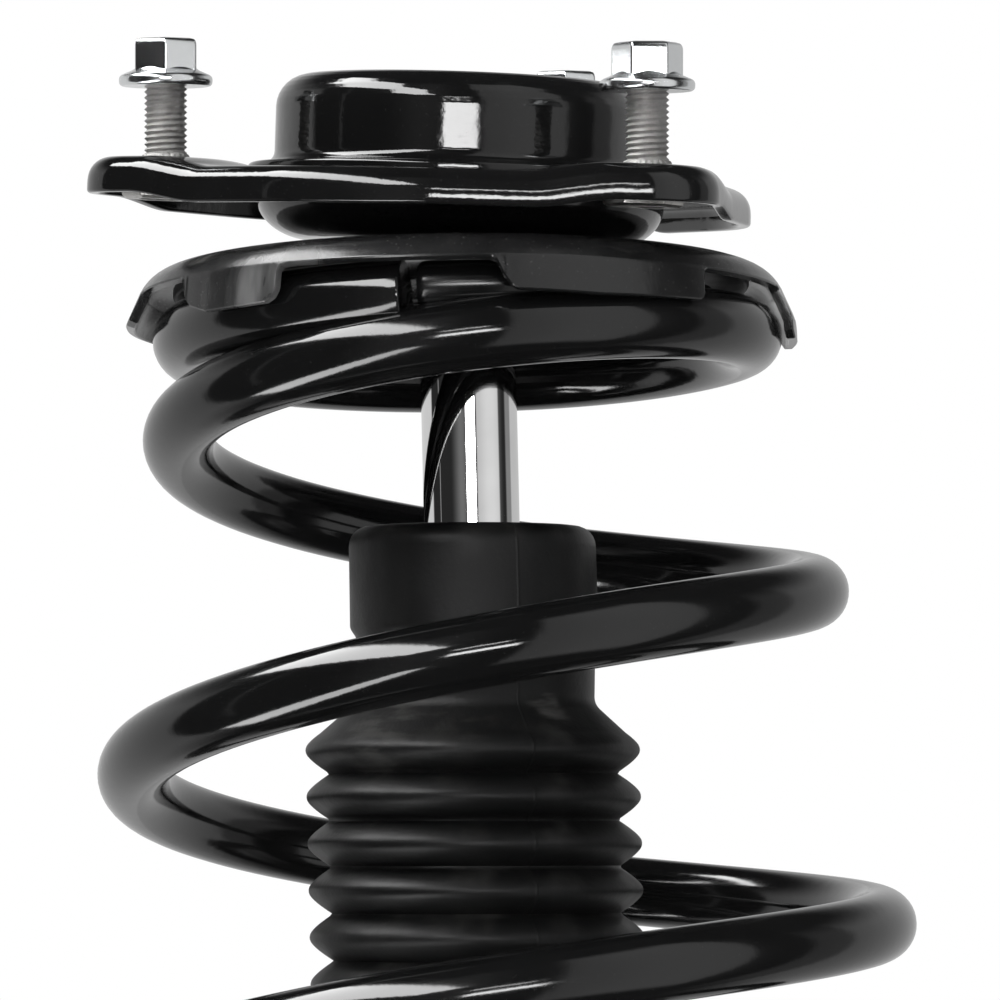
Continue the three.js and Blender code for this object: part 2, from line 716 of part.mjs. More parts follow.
function pistonNut() {
  return cut(hexPrism(17, -405, -395 - GAP), rod(SPIGOT_RADIUS + GAP, -406, -390));
}

part('gland_cap', glandCap(), zinc);
part('rod_seal', ring(ROD_RADIUS + 0.25, BORE - GAP, -256, TUBE_TOP - GAP, SMALL_ROUND), mattRubber);
part('rod_guide', ring(ROD_RADIUS + 0.25, BORE - GAP, GUIDE_BOTTOM, -256 - GAP, SMALL_ROUND), bareSteel);
part('rebound_stop', ring(ROD_RADIUS + GAP, 14.5, -290, GUIDE_BOTTOM - 0.6, SMALL_ROUND), plastic);
part('piston', piston(), bareSteel);
part('piston_band', ring(BORE_RADIUS - 2.3, BORE_RADIUS - GAP, -388.7, -380.3, SMALL_ROUND), plastic);
part('piston_nut', pistonNut(), zinc);
part('damper_tube', ring(BORE, TUBE_RADIUS, TUBE_BOTTOM, TUBE_TOP, 32), glossBlack);
part('pressure_tube', ring(BORE_RADIUS, BORE_RADIUS + 1.5, -520, GUIDE_BOTTOM - GAP, SMALL_ROUND), bareSteel);
part('base_valve', rod(BORE - GAP, -531, -520 - GAP), bareSteel);
part('bottom_cap', rod(BORE - GAP, TUBE_BOTTOM + 2, -531 - GAP), glossBlack);

// ---------------------------------------------------------------- brackets

// The clevis wraps the tube and ends in two flat cheeks that take the knuckle between them.
function knuckleBracket() {
  const inner = TUBE_RADIUS + GAP;
  const outer = inner + CLEVIS_SHEET;
  const cheekOut = CLEVIS_HALF_GAP + CLEVIS_SHEET;
  const innerAngle = Math.asin((CLEVIS_HALF_GAP + 1.5) / inner);
  const outerAngle = Math.asin(cheekOut / outer);
  const steps = 20;
  const cheekStart = TUBE_RADIUS - 1.5;
  const outline = [
    new THREE.Vector2(CLEVIS_REACH, CLEVIS_HALF_GAP),
    new THREE.Vector2(cheekStart, CLEVIS_HALF_GAP),
  ];
  for (let i = 0; i <= steps; i++) {
    const angle = innerAngle + ((TURN - 2 * innerAngle) * i) / steps;
    outline.push(new THREE.Vector2(inner * Math.cos(angle), inner * Math.sin(angle)));
  }
  outline.push(new THREE.Vector2(cheekStart, -CLEVIS_HALF_GAP));
  outline.push(new THREE.Vector2(CLEVIS_REACH, -CLEVIS_HALF_GAP));
  outline.push(new THREE.Vector2(CLEVIS_REACH, -cheekOut));
  for (let i = steps; i >= 0; i--) {
    const angle = outerAngle + ((TURN - 2 * outerAngle) * i) / steps;
    outline.push(new THREE.Vector2(outer * Math.cos(angle), outer * Math.sin(angle)));
  }
  outline.push(new THREE.Vector2(CLEVIS_REACH, cheekOut));
  const holes = CLEVIS_BOLT_HEIGHTS.map((height) => (
    rod(CLEVIS_BOLT_HOLE, -40, 40, 20).rotateX(Math.PI / 2).translate(CLEVIS_BOLT_X, 0, height)
  ));
  return cut(prism(outline, CLEVIS_BOTTOM, CLEVIS_TOP), ...holes);
}

// A flat tab in the plane of X and Z, square at the tube and round at its free end.
function linkBracket() {
  const [tip, height, half, thick] = [-50, -405, 13, 5];
  const outline = new THREE.Shape();
  outline.moveTo(-TUBE_RADIUS - GAP, half + 6);
  outline.lineTo(tip, half);
  outline.absarc(tip, 0, half, Math.PI / 2, 1.5 * Math.PI, false);
  outline.lineTo(-TUBE_RADIUS - GAP, -half - 6);
  const hole = new THREE.Path();
  hole.absarc(tip, 0, 6.2, 0, TURN, true);
  outline.holes.push(hole);
  const tab = new THREE.ExtrudeGeometry(outline, { depth: thick, bevelEnabled: false, curveSegments: 10 });
  return tab.translate(0, 0, -thick / 2).rotateX(Math.PI / 2).translate(0, 0, height);
}

// A folded tab: a foot welded upright to the tube and a shelf with a hole for the hose's end.
function hoseBracket() {
  const [height, half, thick, reach] = [-385, 12, 2.5, 34];
  const foot = TUBE_RADIUS + GAP;
  const fold = new THREE.Shape();
  fold.moveTo(foot, -22);
  fold.lineTo(foot + thick, -22);
  fold.lineTo(foot + thick, -thick);
  fold.lineTo(foot + reach, -thick);
  fold.lineTo(foot + reach, 0);
  fold.lineTo(foot, 0);
  const blank = new THREE.ExtrudeGeometry(fold, { depth: 2 * half, bevelEnabled: false });
  blank.translate(0, 0, -half).rotateX(Math.PI / 2).rotateZ(-Math.PI / 2);
  const hole = rod(5.2, -10, 10, 16).translate(0, -foot - 21, 0);
  return cut(blank, hole).translate(0, 0, height);
}

part('knuckle_bracket', knuckleBracket(), glossBlack);
part('link_bracket', linkBracket(), glossBlack);
part('brake_hose_bracket', hoseBracket(), glossBlack);

export default group;
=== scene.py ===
"""The look of a front suspension strut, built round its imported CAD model.

Shapes are worked out in millimetres and turn into metres when their mesh is made. The frame is the
CAD model's: +Z up the piston rod, -Y the front, +X the side of the knuckle clevis, and the origin
on the rod's axis at the plane of the mount's ears.
"""

import math

import bmesh
import bpy
import numpy as np
from mathutils import Matrix, Vector


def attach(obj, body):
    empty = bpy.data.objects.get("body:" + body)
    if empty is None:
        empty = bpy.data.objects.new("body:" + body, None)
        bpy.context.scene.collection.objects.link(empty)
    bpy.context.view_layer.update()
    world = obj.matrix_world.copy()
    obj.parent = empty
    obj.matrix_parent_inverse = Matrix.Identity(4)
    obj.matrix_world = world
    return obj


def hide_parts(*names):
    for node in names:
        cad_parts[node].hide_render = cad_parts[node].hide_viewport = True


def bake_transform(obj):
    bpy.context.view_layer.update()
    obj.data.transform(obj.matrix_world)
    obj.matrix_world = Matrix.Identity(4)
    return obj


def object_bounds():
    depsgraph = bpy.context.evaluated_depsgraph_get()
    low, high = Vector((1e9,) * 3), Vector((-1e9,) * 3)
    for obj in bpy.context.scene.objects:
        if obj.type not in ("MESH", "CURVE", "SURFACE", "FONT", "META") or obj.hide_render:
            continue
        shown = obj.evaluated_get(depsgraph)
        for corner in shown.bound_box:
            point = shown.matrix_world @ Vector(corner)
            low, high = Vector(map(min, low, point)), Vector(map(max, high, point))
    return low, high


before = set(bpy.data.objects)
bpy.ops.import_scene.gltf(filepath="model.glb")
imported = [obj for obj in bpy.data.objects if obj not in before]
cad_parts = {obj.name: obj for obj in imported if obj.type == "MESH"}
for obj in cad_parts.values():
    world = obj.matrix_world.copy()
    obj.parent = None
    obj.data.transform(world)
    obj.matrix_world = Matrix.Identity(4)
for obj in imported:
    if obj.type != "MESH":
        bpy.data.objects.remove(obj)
cad_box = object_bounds()

MM = 0.001
TAU = 2 * math.pi

# ---------------- sizes shared by the pieces

MOUNT_PITCH = math.radians(2.5)
MOUNT_ROLL = math.radians(3.25)
MOUNT_ASIDE = -1.6
PLATE_RADIUS = 68
PLATE_TOP = -2.4
PLATE_SHEET = 3
LIP_DEPTH = 8.4
EAR_RADIUS = 17.1
BOLT_CIRCLE = 67.9
# Azimuth of each bolt from +X, and the direction of one corner of its head, in degrees
BOLTS = {"left": (188.2, 92.3), "right": (308.2, 3.0), "rear": (68.2, 90.0)}

SEAT_PITCH = math.radians(-3)
SEAT_ROLL = math.radians(0.9)
SEAT_ASIDE = -1.2
SEAT_TOP = -22.6
SEAT_RADIUS = 74
SEAT_SHEET = 2.2

WIRE_RADIUS = 8.15
COIL_TURNS = 5.6
TIP_START = -0.0045
COIL_TOP = -38.2
PITCH = 75
COIL_LEAN = math.radians(4.1)
RAMP_START = 0.6
RAMP_END = 1.2
COIL_DROP = PITCH * (COIL_TURNS - RAMP_START - RAMP_END)
COIL_BOTTOM = COIL_TOP - COIL_DROP

ROD_RADIUS = 11
TUBE_RADIUS = 25.5
TUBE_TOP = -249
LOWER_SEAT_TOP = -334.5


def turn(angle, axis):
    return Matrix.Rotation(angle, 4, axis)


def shift(x, y, z):
    return Matrix.Translation(Vector((x, y, z)))


MOUNT = shift(MOUNT_ASIDE, 0, 0) @ turn(MOUNT_PITCH, "X") @ turn(MOUNT_ROLL, "Y")
SEAT = (
    shift(SEAT_ASIDE, 0, SEAT_TOP)
    @ turn(SEAT_PITCH, "X")
    @ turn(SEAT_ROLL, "Y")
    @ shift(0, 0, -SEAT_TOP)
)
UPRIGHT = Matrix.Identity(4)

# ---------------- shape helpers, in millimetres


def smoothstep(value, low, high):
    t = np.clip((value - low) / (high - low), 0, 1)
    return t * t * (3 - 2 * t)


def rounded(corners, closed=True, steps=4):
    """Points of an outline of (x, y, fillet radius) corners, with every corner rounded."""
    points = []
    for i, (x, y, size) in enumerate(corners):
        at = Vector((x, y))
        back = Vector(corners[i - 1][:2]) - at
        ahead = Vector(corners[(i + 1) % len(corners)][:2]) - at
        if size == 0 or (not closed and i in (0, len(corners) - 1)):
            points.append((x, y))
            continue
        half = back.angle(ahead) / 2
        reach = min(size / math.tan(half), 0.48 * back.length, 0.48 * ahead.length)
        size = reach * math.tan(half)
        start = at + back.normalized() * reach
        end = at + ahead.normalized() * reach
        centre = at + (back.normalized() + ahead.normalized()).normalized() * (size / math.sin(half))
        a, b = start - centre, end - centre
        sweep = math.atan2(a.x * b.y - a.y * b.x, a.dot(b))
        for k in range(steps + 1):
            p = centre + Matrix.Rotation(sweep * k / steps, 2) @ a
            points.append((p.x, p.y))
    return points


def grid_faces(rows, columns, wrap_rows, wrap_columns):
    """Quads of a grid of points numbered row by row."""
    r = np.arange(rows if wrap_rows else rows - 1)
    c = np.arange(columns if wrap_columns else columns - 1)
    a, b = np.meshgrid(r, c, indexing="ij")
    a2, b2 = (a + 1) % rows, (b + 1) % columns
    quads = np.stack([a * columns + b, a2 * columns + b, a2 * columns + b2, a * columns + b2], -1)
    return [tuple(q) for q in quads.reshape(-1, 4).tolist()]


def braced(profile, closed, margin=0.35):
    """Adds a point just inside both ends of every long side, so that flats stay flat when shaded."""
    points = []
    for i, (x, y) in enumerate(profile):
        points.append((x, y))
        if not closed and i == len(profile) - 1:
            break
        x2, y2 = profile[(i + 1) % len(profile)]
        length = math.hypot(x2 - x, y2 - y)
        if length > 4 * margin:
            share = margin / length
            points.append((x + (x2 - x) * share, y + (y2 - y) * share))
            points.append((x2 - (x2 - x) * share, y2 - (y2 - y) * share))
    return points


def turned(radius, height, angles):
    """Points of a turned surface, angle by angle."""
    x, y = radius * np.cos(angles)[:, None], radius * np.sin(angles)[:, None]
    return np.stack([x, y, np.broadcast_to(height, x.shape)], -1).reshape(-1, 3)


def lathe(profile, sides=96, closed=True, extra_angles=()):
    """A turned shape. An open profile starts and ends on the axis."""
    profile = braced(profile, closed)
    angles = np.linspace(0, TAU, sides, endpoint=False)
    angles = np.unique(np.concatenate([angles, np.array(extra_angles) % TAU]))
    radius, height = np.array(profile, float).T
    faces = grid_faces(len(angles), len(profile), True, closed)
    return turned(radius, height, angles), faces


def skinned(rings):
    """A solid skin over a list of rings of points, closed by a face at both ends."""
    count = len(rings[0])
    points = np.concatenate(rings)
    faces = grid_faces(len(rings), count, False, True)
    faces.append(tuple(range(count)))
    faces.append(tuple(range(len(points) - count, len(points))))
    return points, faces


def level(outline, height):
    """An outline's points at a height, which may be one number or one per point."""
    return np.column_stack([outline, np.broadcast_to(height, len(outline))])


def stack(outline, levels):
    """A solid of one outline at several levels, each of (height, inset towards the centre)."""
    outline = np.array(outline, float)
    reach = np.linalg.norm(outline, axis=1, keepdims=True)
    return skinned([level(outline * (1 - inset / reach), height) for height, inset in levels])


def extruded(outline, low, high, bevel=0.6, steps=3):
    """An upright prism of any outline whose two rims are bevelled."""
    outline = np.array(outline, float)
    ahead = np.roll(outline, -1, 0) - outline
    ahead /= np.linalg.norm(ahead, axis=1, keepdims=True) + 1e-9
    back = np.roll(ahead, 1, 0)
    normal = np.stack([ahead[:, 1] + back[:, 1], -ahead[:, 0] - back[:, 0]], -1)
    normal /= np.linalg.norm(normal, axis=1, keepdims=True) + 1e-9
    beside = np.roll(outline, -1, 0)
    area = np.sum(outline[:, 0] * beside[:, 1] - outline[:, 1] * beside[:, 0])
    inward = -normal if area > 0 else normal
    turns = [math.pi / 2 * k / steps for k in range(steps + 1)]
    levels = [(low + bevel * (1 - math.cos(a)), bevel * (1 - math.sin(a))) for a in turns]
    levels += [(high + low - z, inset) for z, inset in reversed(levels)]
    return skinned([level(outline + inward * inset, height) for height, inset in levels])


def polygon(sides, flats, corner=0.5, first=0.0, steps=3):
    """A regular polygon's outline with rounded corners."""
    reach = flats / 2 / math.cos(math.pi / sides)
    corners = []
    for i in range(sides):
        a = first + TAU * i / sides
        corners.append((reach * math.cos(a), reach * math.sin(a), corner))
    return rounded(corners, steps=steps)


def arc(radius, start, end, steps, x=0.0, y=0.0):
    """Points of an arc, with both its ends."""
    turns = [start + (end - start) * i / steps for i in range(steps + 1)]
    return [(x + radius * math.cos(a), y + radius * math.sin(a)) for a in turns]


def bore(radius, low, high, sides=36, x=0.0, y=0.0):
    """A cutter for a round upright hole."""
    return extruded(arc(radius, 0, TAU, sides, x, y)[:-1], low, high, bevel=0.01, steps=1)


def round_section(size, sides):
    """A round section for every point of a path, from the radius at each."""
    around = np.linspace(0, TAU, sides, endpoint=False)
    return size[:, None, None] * np.stack([np.cos(around), np.sin(around)], -1)[None]


def sweep(path, section, closed=False, up=(0, 0, 1)):
    """A section of (across, up) points swept along a path; it may have its own shape at each point."""
    path = np.array(path, float)
    if closed:
        tangent = np.roll(path, -1, 0) - np.roll(path, 1, 0)
    else:
        tangent = np.gradient(path, axis=0)
    tangent /= np.linalg.norm(tangent, axis=1, keepdims=True)
    side = np.cross(tangent, np.array(up, float))
    side /= np.linalg.norm(side, axis=1, keepdims=True)
    top = np.cross(side, tangent)
    section = np.array(section, float)
    if section.ndim == 2:
        section = np.broadcast_to(section, (len(path),) + section.shape)
    points = path[:, None] + side[:, None] * section[..., :1] + top[:, None] * section[..., 1:]
    if closed:
        return points.reshape(-1, 3), grid_faces(len(path), section.shape[1], True, True)
    return skinned(list(points))


def together(*shapes):
    """Several shapes as one mesh."""
    points, faces, start = [], [], 0
    for shape_points, shape_faces in shapes:
        points.append(np.array(shape_points, float))
        faces += [tuple(start + i for i in f) for f in shape_faces]
        start += len(shape_points)
    return np.concatenate(points), faces


def moved(shape, matrix):
    """A shape carried by a 4 x 4 matrix."""
    points, faces = shape
    m = np.array(matrix)
    return np.array(points) @ m[:3, :3].T + m[:3, 3], faces


def new_mesh(name, shape):
    """A mesh in metres from a shape in millimetres, its seams merged and its faces turned outwards."""
    points, faces = shape
    mesh = bpy.data.meshes.new(name)
    mesh.from_pydata((np.array(points) * MM).tolist(), [], faces)
    bm = bmesh.new()
    bm.from_mesh(mesh)
    bmesh.ops.remove_doubles(bm, verts=bm.verts, dist=2e-6)
    bmesh.ops.recalc_face_normals(bm, faces=bm.faces)
    bm.to_mesh(mesh)
    bm.free()
    return mesh


def cut(piece, *tools):
    """Cuts the tools' shapes out of a piece."""
    for tool in tools:
        cutter = bpy.data.objects.new("cutter", new_mesh("cutter", tool))
        bpy.context.scene.collection.objects.link(cutter)
        modifier = piece.modifiers.new("cut", "BOOLEAN")
        modifier.operation = "DIFFERENCE"
        modifier.solver = "EXACT"
        modifier.object = cutter
        graph = bpy.context.evaluated_depsgraph_get()
        result = bpy.data.meshes.new_from_object(piece.evaluated_get(graph))
        piece.modifiers.remove(modifier)
        piece.data = result
        bpy.data.objects.remove(cutter)


def make(name, shape, material, body, nodes=(), slot=None, place=UPRIGHT, sharp=35, cuts=()):
    """A piece from a shape: placed, cut, shaded, riding on its body and standing for CAD nodes."""
    points, faces = moved(shape, place)
    mesh = new_mesh(name, (points, faces))
    piece = bpy.data.objects.new(name, mesh)
    bpy.context.scene.collection.objects.link(piece)
    if cuts:
        cut(piece, *[moved(c, place) for c in cuts])
    mesh = piece.data
    mesh.materials.clear()
    mesh.materials.append(material)
    mesh.shade_smooth()
    mesh.set_sharp_from_angle(angle=math.radians(sharp))
    if body:
        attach(piece, body)
    if nodes:
        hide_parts(*nodes)
    return piece


# ---------------- material helpers


class Wiring:
    """A node tree being wired, for a material or for the world."""

    def __init__(self, owner):
        owner.use_nodes = True
        self.tree = owner.node_tree
        self.tree.nodes.clear()

    def node(self, kind, inputs=None, **settings):
        made = self.tree.nodes.new("ShaderNode" + kind)
        for key, value in settings.items():
            setattr(made, key, value)
        for key, value in (inputs or {}).items():
            self.put(made.inputs[key], value)
        return made

    def put(self, socket, value):
        if isinstance(value, bpy.types.NodeSocket):
            self.tree.links.new(value, socket)
        else:
            socket.default_value = value

    def spread(self, value, low, high, out_low=0.0, out_high=1.0):
        """Carries a value smoothly from one range to another, and holds it at the ends."""
        made = self.node("MapRange", {0: value, 1: low, 2: high, 3: out_low, 4: out_high},
                         interpolation_type="SMOOTHSTEP")
        return made.outputs[0]

    def maths(self, operation, a, b=0.0):
        return self.node("Math", {0: a, 1: b}, operation=operation).outputs[0]

    def plus(self, a, b):
        return self.maths("ADD", a, b)

    def times(self, a, b):
        return self.maths("MULTIPLY", a, b)


class Shader(Wiring):
    """A material, with short calls for the nodes the finishes need."""

    def __init__(self, name):
        self.material = bpy.data.materials.new(name)
        super().__init__(self.material)
        self.surface = self.node("BsdfPrincipled")
        output = self.node("OutputMaterial")
        self.tree.links.new(self.surface.outputs[0], output.inputs[0])
        self.coords = self.node("TexCoord").outputs["Object"]

    def set(self, **inputs):
        for key, value in inputs.items():
            self.put(self.surface.inputs[key.replace("_", " ")], value)

    def noise(self, scale, detail=2.0, stretch=None, roughness=0.5):
        coords = self.coords
        if stretch:
            coords = self.node("Mapping", {"Vector": coords, "Scale": stretch}).outputs[0]
        inputs = {"Vector": coords, "Scale": scale, "Detail": detail, "Roughness": roughness}
        return self.node("TexNoise", inputs).outputs[0]

    def blend(self, amount, a, b):
        made = self.node("Mix", data_type="RGBA")
        self.put(made.inputs[0], amount)
        self.put(made.inputs[6], a)
        self.put(made.inputs[7], b)
        return made.outputs[2]

    def rubbed(self, marks, rubs, streaks, core):
        """Adds rubbed patches of (place, size, strength), streaked and fading out from a core."""
        for place, size, strength in rubs:
            near = self.node("VectorMath", {0: self.coords, 1: place}, operation="DISTANCE")
            patch = self.spread(near.outputs["Value"], size, size * core)
            rub = self.times(patch, self.times(streaks, strength))
            marks = self.maths("MAXIMUM", marks, rub)
        return marks

    def bump(self, height, distance, strength=1.0, under=None):
        inputs = {"Height": height, "Distance": distance, "Strength": strength}
        if under:
            inputs["Normal"] = under
        return self.node("Bump", inputs).outputs[0]

    def upward(self):
        """How far the surface faces up: -1 to 1."""
        normal = self.node("NewGeometry").outputs["Normal"]
        return self.node("SeparateXYZ", {0: normal}).outputs[2]


def rgb(value, tint=(1, 1, 1)):
    return (value * tint[0], value * tint[1], value * tint[2], 1)


# Where the spring seat's paint is rubbed: place and size in metres, and how strongly
SCUFFS = [
    ((-0.0455, -0.0590, -0.0310), 0.0110, 0.80),
    ((-0.0530, -0.0540, -0.0330), 0.0120, 0.35),
    ((-0.0375, -0.0640, -0.0265), 0.0090, 0.40),
]


def black_paint(name, value, roughness, peel, dust, scratches=0.0):
    """Sprayed or powder-coated black: faint orange peel, uneven gloss, dust and hairline marks."""
    s = Shader(name)
    cloud = s.noise(38, 3)
    specks = s.spread(s.noise(1900, 1), 0.72, 0.76)
    film = s.spread(s.noise(75, 5, roughness=0.65), 0.42, 0.75)
    lying = s.spread(s.upward(), 0.2, 0.95, 0.25, 1.0)
    dusty = s.times(s.times(film, lying), dust)
    dusty = s.plus(dusty, s.times(specks, min(0.5, dust * 3 + 0.04)))
    base = s.blend(cloud, rgb(value * 0.8), rgb(value * 1.25, (0.98, 1.0, 1.03)))
    base = s.blend(dusty, base, rgb(0.2, (1.0, 0.98, 0.95)))
    rough = s.spread(cloud, 0.3, 0.7, roughness * 0.8, roughness * 1.25)
    rough = s.plus(rough, s.times(dusty, 0.35))
    if scratches:
        hair = s.spread(s.noise(260, 2, stretch=(1.0, 1.0, 0.06)), 0.60, 0.68)
        patch = s.spread(s.noise(26, 2), 0.5, 0.62)
        marks = s.times(s.times(hair, patch), scratches)
        streaks = s.spread(s.noise(170, 3, stretch=(1.0, 1.0, 0.12)), 0.38, 0.62, 0.15, 1.0)
        marks = s.rubbed(marks, SCUFFS, streaks, core=0.35)
        base = s.blend(marks, base, rgb(0.16))
        rough = s.plus(rough, s.times(marks, 0.25))
    normal = s.bump(s.noise(330, 2), 0.00004 * peel)
    normal = s.bump(s.noise(2400, 1), 0.000004 * peel, under=normal)
    s.set(Base_Color=base, Roughness=rough, Normal=normal, IOR=1.5)
    return s.material


def metal(name, value, roughness, spread, grain, tint=(1, 1, 1), stretch=None, stain=0.0):
    """Bare or plated metal: uneven polish, fine grain along its working direction, faint stains."""
    s = Shader(name)
    cloud = s.noise(120, 4)
    fine = s.noise(1500, 3, stretch=stretch)
    base = s.blend(cloud, rgb(value * 0.9, tint), rgb(min(1, value * 1.06), tint))
    if stain:
        spots = s.spread(s.noise(420, 3), 0.56, 0.75)
        base = s.blend(s.times(spots, stain), base, rgb(value * 0.35, (1.0, 0.96, 0.9)))
    rough = s.spread(s.plus(s.times(cloud, 0.5), s.times(fine, 0.5)),
                     0.3, 0.7, max(0.01, roughness - spread), roughness + spread)
    s.set(Base_Color=base, Roughness=rough, Metallic=1.0, Normal=s.bump(fine, grain))
    return s.material


# Where dust is rubbed into the boot's first fold: place and size in metres, and how strongly
BOOT_RUBS = [
    ((-0.0210, -0.0260, -0.1290), 0.0150, 0.22),
    ((-0.0040, -0.0330, -0.1285), 0.0110, 0.15),
    ((0.0170, -0.0250, -0.1235), 0.0070, 0.25),
]


def rubber(name, value, roughness, dust, grain=0.00006, shine=1.0, rubs=()):
    """Moulded black rubber: fine matt grain, and dust in streaks down its sides."""
    s = Shader(name)
    cloud = s.noise(45, 4)
    streak = s.spread(s.noise(85, 4, stretch=(1, 1, 0.25)), 0.48, 0.72)
    specks = s.spread(s.noise(2300, 1), 0.70, 0.75)
    lying = s.spread(s.upward(), -0.3, 0.9, 0.15, 1.0)
    dusty = s.times(s.times(streak, lying), dust)
    dusty = s.plus(dusty, s.times(specks, dust * 0.5))
    base = s.blend(cloud, rgb(value * 0.82), rgb(value * 1.2, (0.97, 1.0, 1.04)))
    if rubs:
        brushed = s.spread(s.noise(420, 3, stretch=(0.25, 0.25, 1.0)), 0.42, 0.68)
        dusty = s.rubbed(dusty, rubs, brushed, core=0.3)
    base = s.blend(dusty, base, rgb(0.17, (1.0, 0.98, 0.94)))
    rough = s.spread(cloud, 0.3, 0.7, roughness - 0.07, roughness + 0.07)
    normal = s.bump(s.noise(900, 4), grain)
    normal = s.bump(s.noise(110, 3), grain * 2.5, under=normal)
    s.set(Base_Color=base, Roughness=rough, Normal=normal, IOR=1 + 0.45 * shine)
    return s.material


def foam(name):
    """Microcellular foam: open pores with painted shade in their hollows, and a mottled yellow."""
    s = Shader(name)
    pores = s.spread(s.noise(1200, 3), 0.35, 0.6)
    base = s.blend(s.noise(90, 3), rgb(1, (0.42, 0.33, 0.10)), rgb(1, (0.62, 0.52, 0.2)))
    # painted shade: the colour is darkened in the pores' hollows, where shade would fall
    base = s.blend(s.maths("SUBTRACT", 1.0, pores), base, rgb(1, (0.2, 0.15, 0.04)))
    s.set(Base_Color=base, Roughness=s.spread(pores, 0, 1, 0.95, 0.7), Normal=s.bump(pores, 0.0002))
    return s.material


MOUNT_PAINT = black_paint("mount_paint", 0.0065, 0.075, 1.0, 0.010)
SPRING_PAINT = black_paint("spring_paint", 0.0055, 0.10, 0.5, 0.006)
SEAT_PAINT = black_paint("seat_paint", 0.010, 0.20, 1.3, 0.05, scratches=0.35)
DAMPER_PAINT = black_paint("damper_paint", 0.008, 0.16, 1.4, 0.02)
CHROME = metal("hard_chrome", 0.78, 0.035, 0.015, 0.0000012, stretch=(0.15, 0.15, 1.6))
ZINC = metal("bolt_plating", 0.76, 0.19, 0.05, 0.000002, tint=(0.97, 0.99, 1.0))
THREAD_ZINC = metal("thread_plating", 0.43, 0.68, 0.08, 0.00001, tint=(1.0, 0.99, 0.97), stain=0.1)
BEARING = metal("bearing_steel", 0.62, 0.16, 0.05, 0.000004, stretch=(1, 1, 3))
BARE_STEEL = metal("bare_steel", 0.42, 0.34, 0.08, 0.00002, tint=(1.0, 0.98, 0.95), stain=0.4)
BOOT_RUBBER = rubber("boot_rubber", 0.0030, 0.50, 0.10, shine=0.75, rubs=BOOT_RUBS)
RUBBER = rubber("seat_rubber", 0.013, 0.5, 0.04)
STOP_RUBBER = rubber("stop_rubber", 0.005, 0.20, 0.01, grain=0.000003)
FOAM = foam("bump_foam")
PLASTIC = rubber("moulded_plastic", 0.03, 0.45, 0.02, grain=0.00002)

# ---------------- top mount


def bolt_place(azimuth):
    a = math.radians(azimuth)
    return BOLT_CIRCLE * math.cos(a), BOLT_CIRCLE * math.sin(a)


def plate_reach(angle, inset=0.0):
    """Radius of the plate's outline, drawn in by an inset: a band round the disc and its ears."""
    disc, ear = PLATE_RADIUS - inset, EAR_RADIUS - inset
    tangent = math.acos((disc - ear) / BOLT_CIRCLE)
    touch = math.atan2(ear * math.sin(tangent), BOLT_CIRCLE + ear * math.cos(tangent))
    reach = np.full_like(angle, disc)
    for azimuth, _ in BOLTS.values():
        away = np.abs((angle - math.radians(azimuth) + math.pi) % TAU - math.pi)
        side = disc / np.cos(tangent - np.minimum(away, tangent))
        aside = BOLT_CIRCLE * np.sin(away)
        end = BOLT_CIRCLE * np.cos(away) + np.sqrt(np.maximum(0, ear ** 2 - aside ** 2))
        reach = np.where(away < tangent, side, reach)
        reach = np.where(away < touch, end, reach)
    return reach


def plate_lift(x, y):
    """How far the sheet is pressed up: a flat pad under each bolt, open to the ear's end."""
    lift = 0
    for azimuth, _ in BOLTS.values():
        a = math.radians(azimuth)
        along = x * math.cos(a) + y * math.sin(a) - BOLT_CIRCLE
        across = y * math.cos(a) - x * math.sin(a)
        lift = np.maximum(lift, 1 - smoothstep(np.hypot(across, np.minimum(0, along)), 13.5, 29))
    return -PLATE_TOP * lift


def quarter(steps):
    return [math.pi / 2 * k / steps for k in range(steps + 1)]


def plate_shape():
    """The stamped plate: raised pads, a well rounded edge, and a lip with a slightly bellied face."""
    hole, foot = 40.2, 0.8
    edge_round, belly = 5.2, 14
    turned = math.radians(81.5)  # where the edge's round gives way to the flatter belly
    edge = edge_round * math.sin(turned) + belly * (1 - math.sin(turned))
    under_round = edge_round - PLATE_SHEET
    angles = np.linspace(0, TAU, 540, endpoint=False)
    flat = plate_reach(angles, edge) - hole

    # each row is the radius, and the height above the local top of the plate
    rows = [(hole + flat * share, 0) for share in np.arange(32) / 31]

    def add(inwards, height):
        rows.append((plate_reach(angles, inwards), height))

    for a in np.linspace(0, turned, 9)[1:]:
        add(edge - edge_round * math.sin(a), edge_round * (math.cos(a) - 1))
    for a in np.linspace(turned, math.pi / 2, 6)[1:]:
        across = edge_round * math.sin(turned) + belly * (math.sin(a) - math.sin(turned))
        down = edge_round * (1 - math.cos(turned)) + belly * (math.cos(turned) - math.cos(a))
        add(edge - across, -down)
    for a in quarter(4):
        add(foot * (1 - math.cos(a)), -LIP_DEPTH + foot * (1 - math.sin(a)))
    for a in quarter(4):
        add(PLATE_SHEET - foot * (1 - math.sin(a)), -LIP_DEPTH + foot * (1 - math.cos(a)))
    for a in quarter(5)[::-1]:
        add(edge_round - under_round * math.sin(a), -edge_round + under_round * math.cos(a))
    rows += [(hole + flat * share, -PLATE_SHEET) for share in np.arange(20, -1, -1) / 20]

    points = []
    outermost = plate_reach(angles, edge_round * 0.5)
    for radius, height in rows:
        inside = np.minimum(radius, outermost)
        lift = plate_lift(inside * np.cos(angles), inside * np.sin(angles))
        x, y = radius * np.cos(angles), radius * np.sin(angles)
        points.append(np.stack([x, y, PLATE_TOP + lift + height], -1))
    grid = np.stack(points, 1).reshape(-1, 3)
    return grid, grid_faces(len(angles), len(rows), True, True)


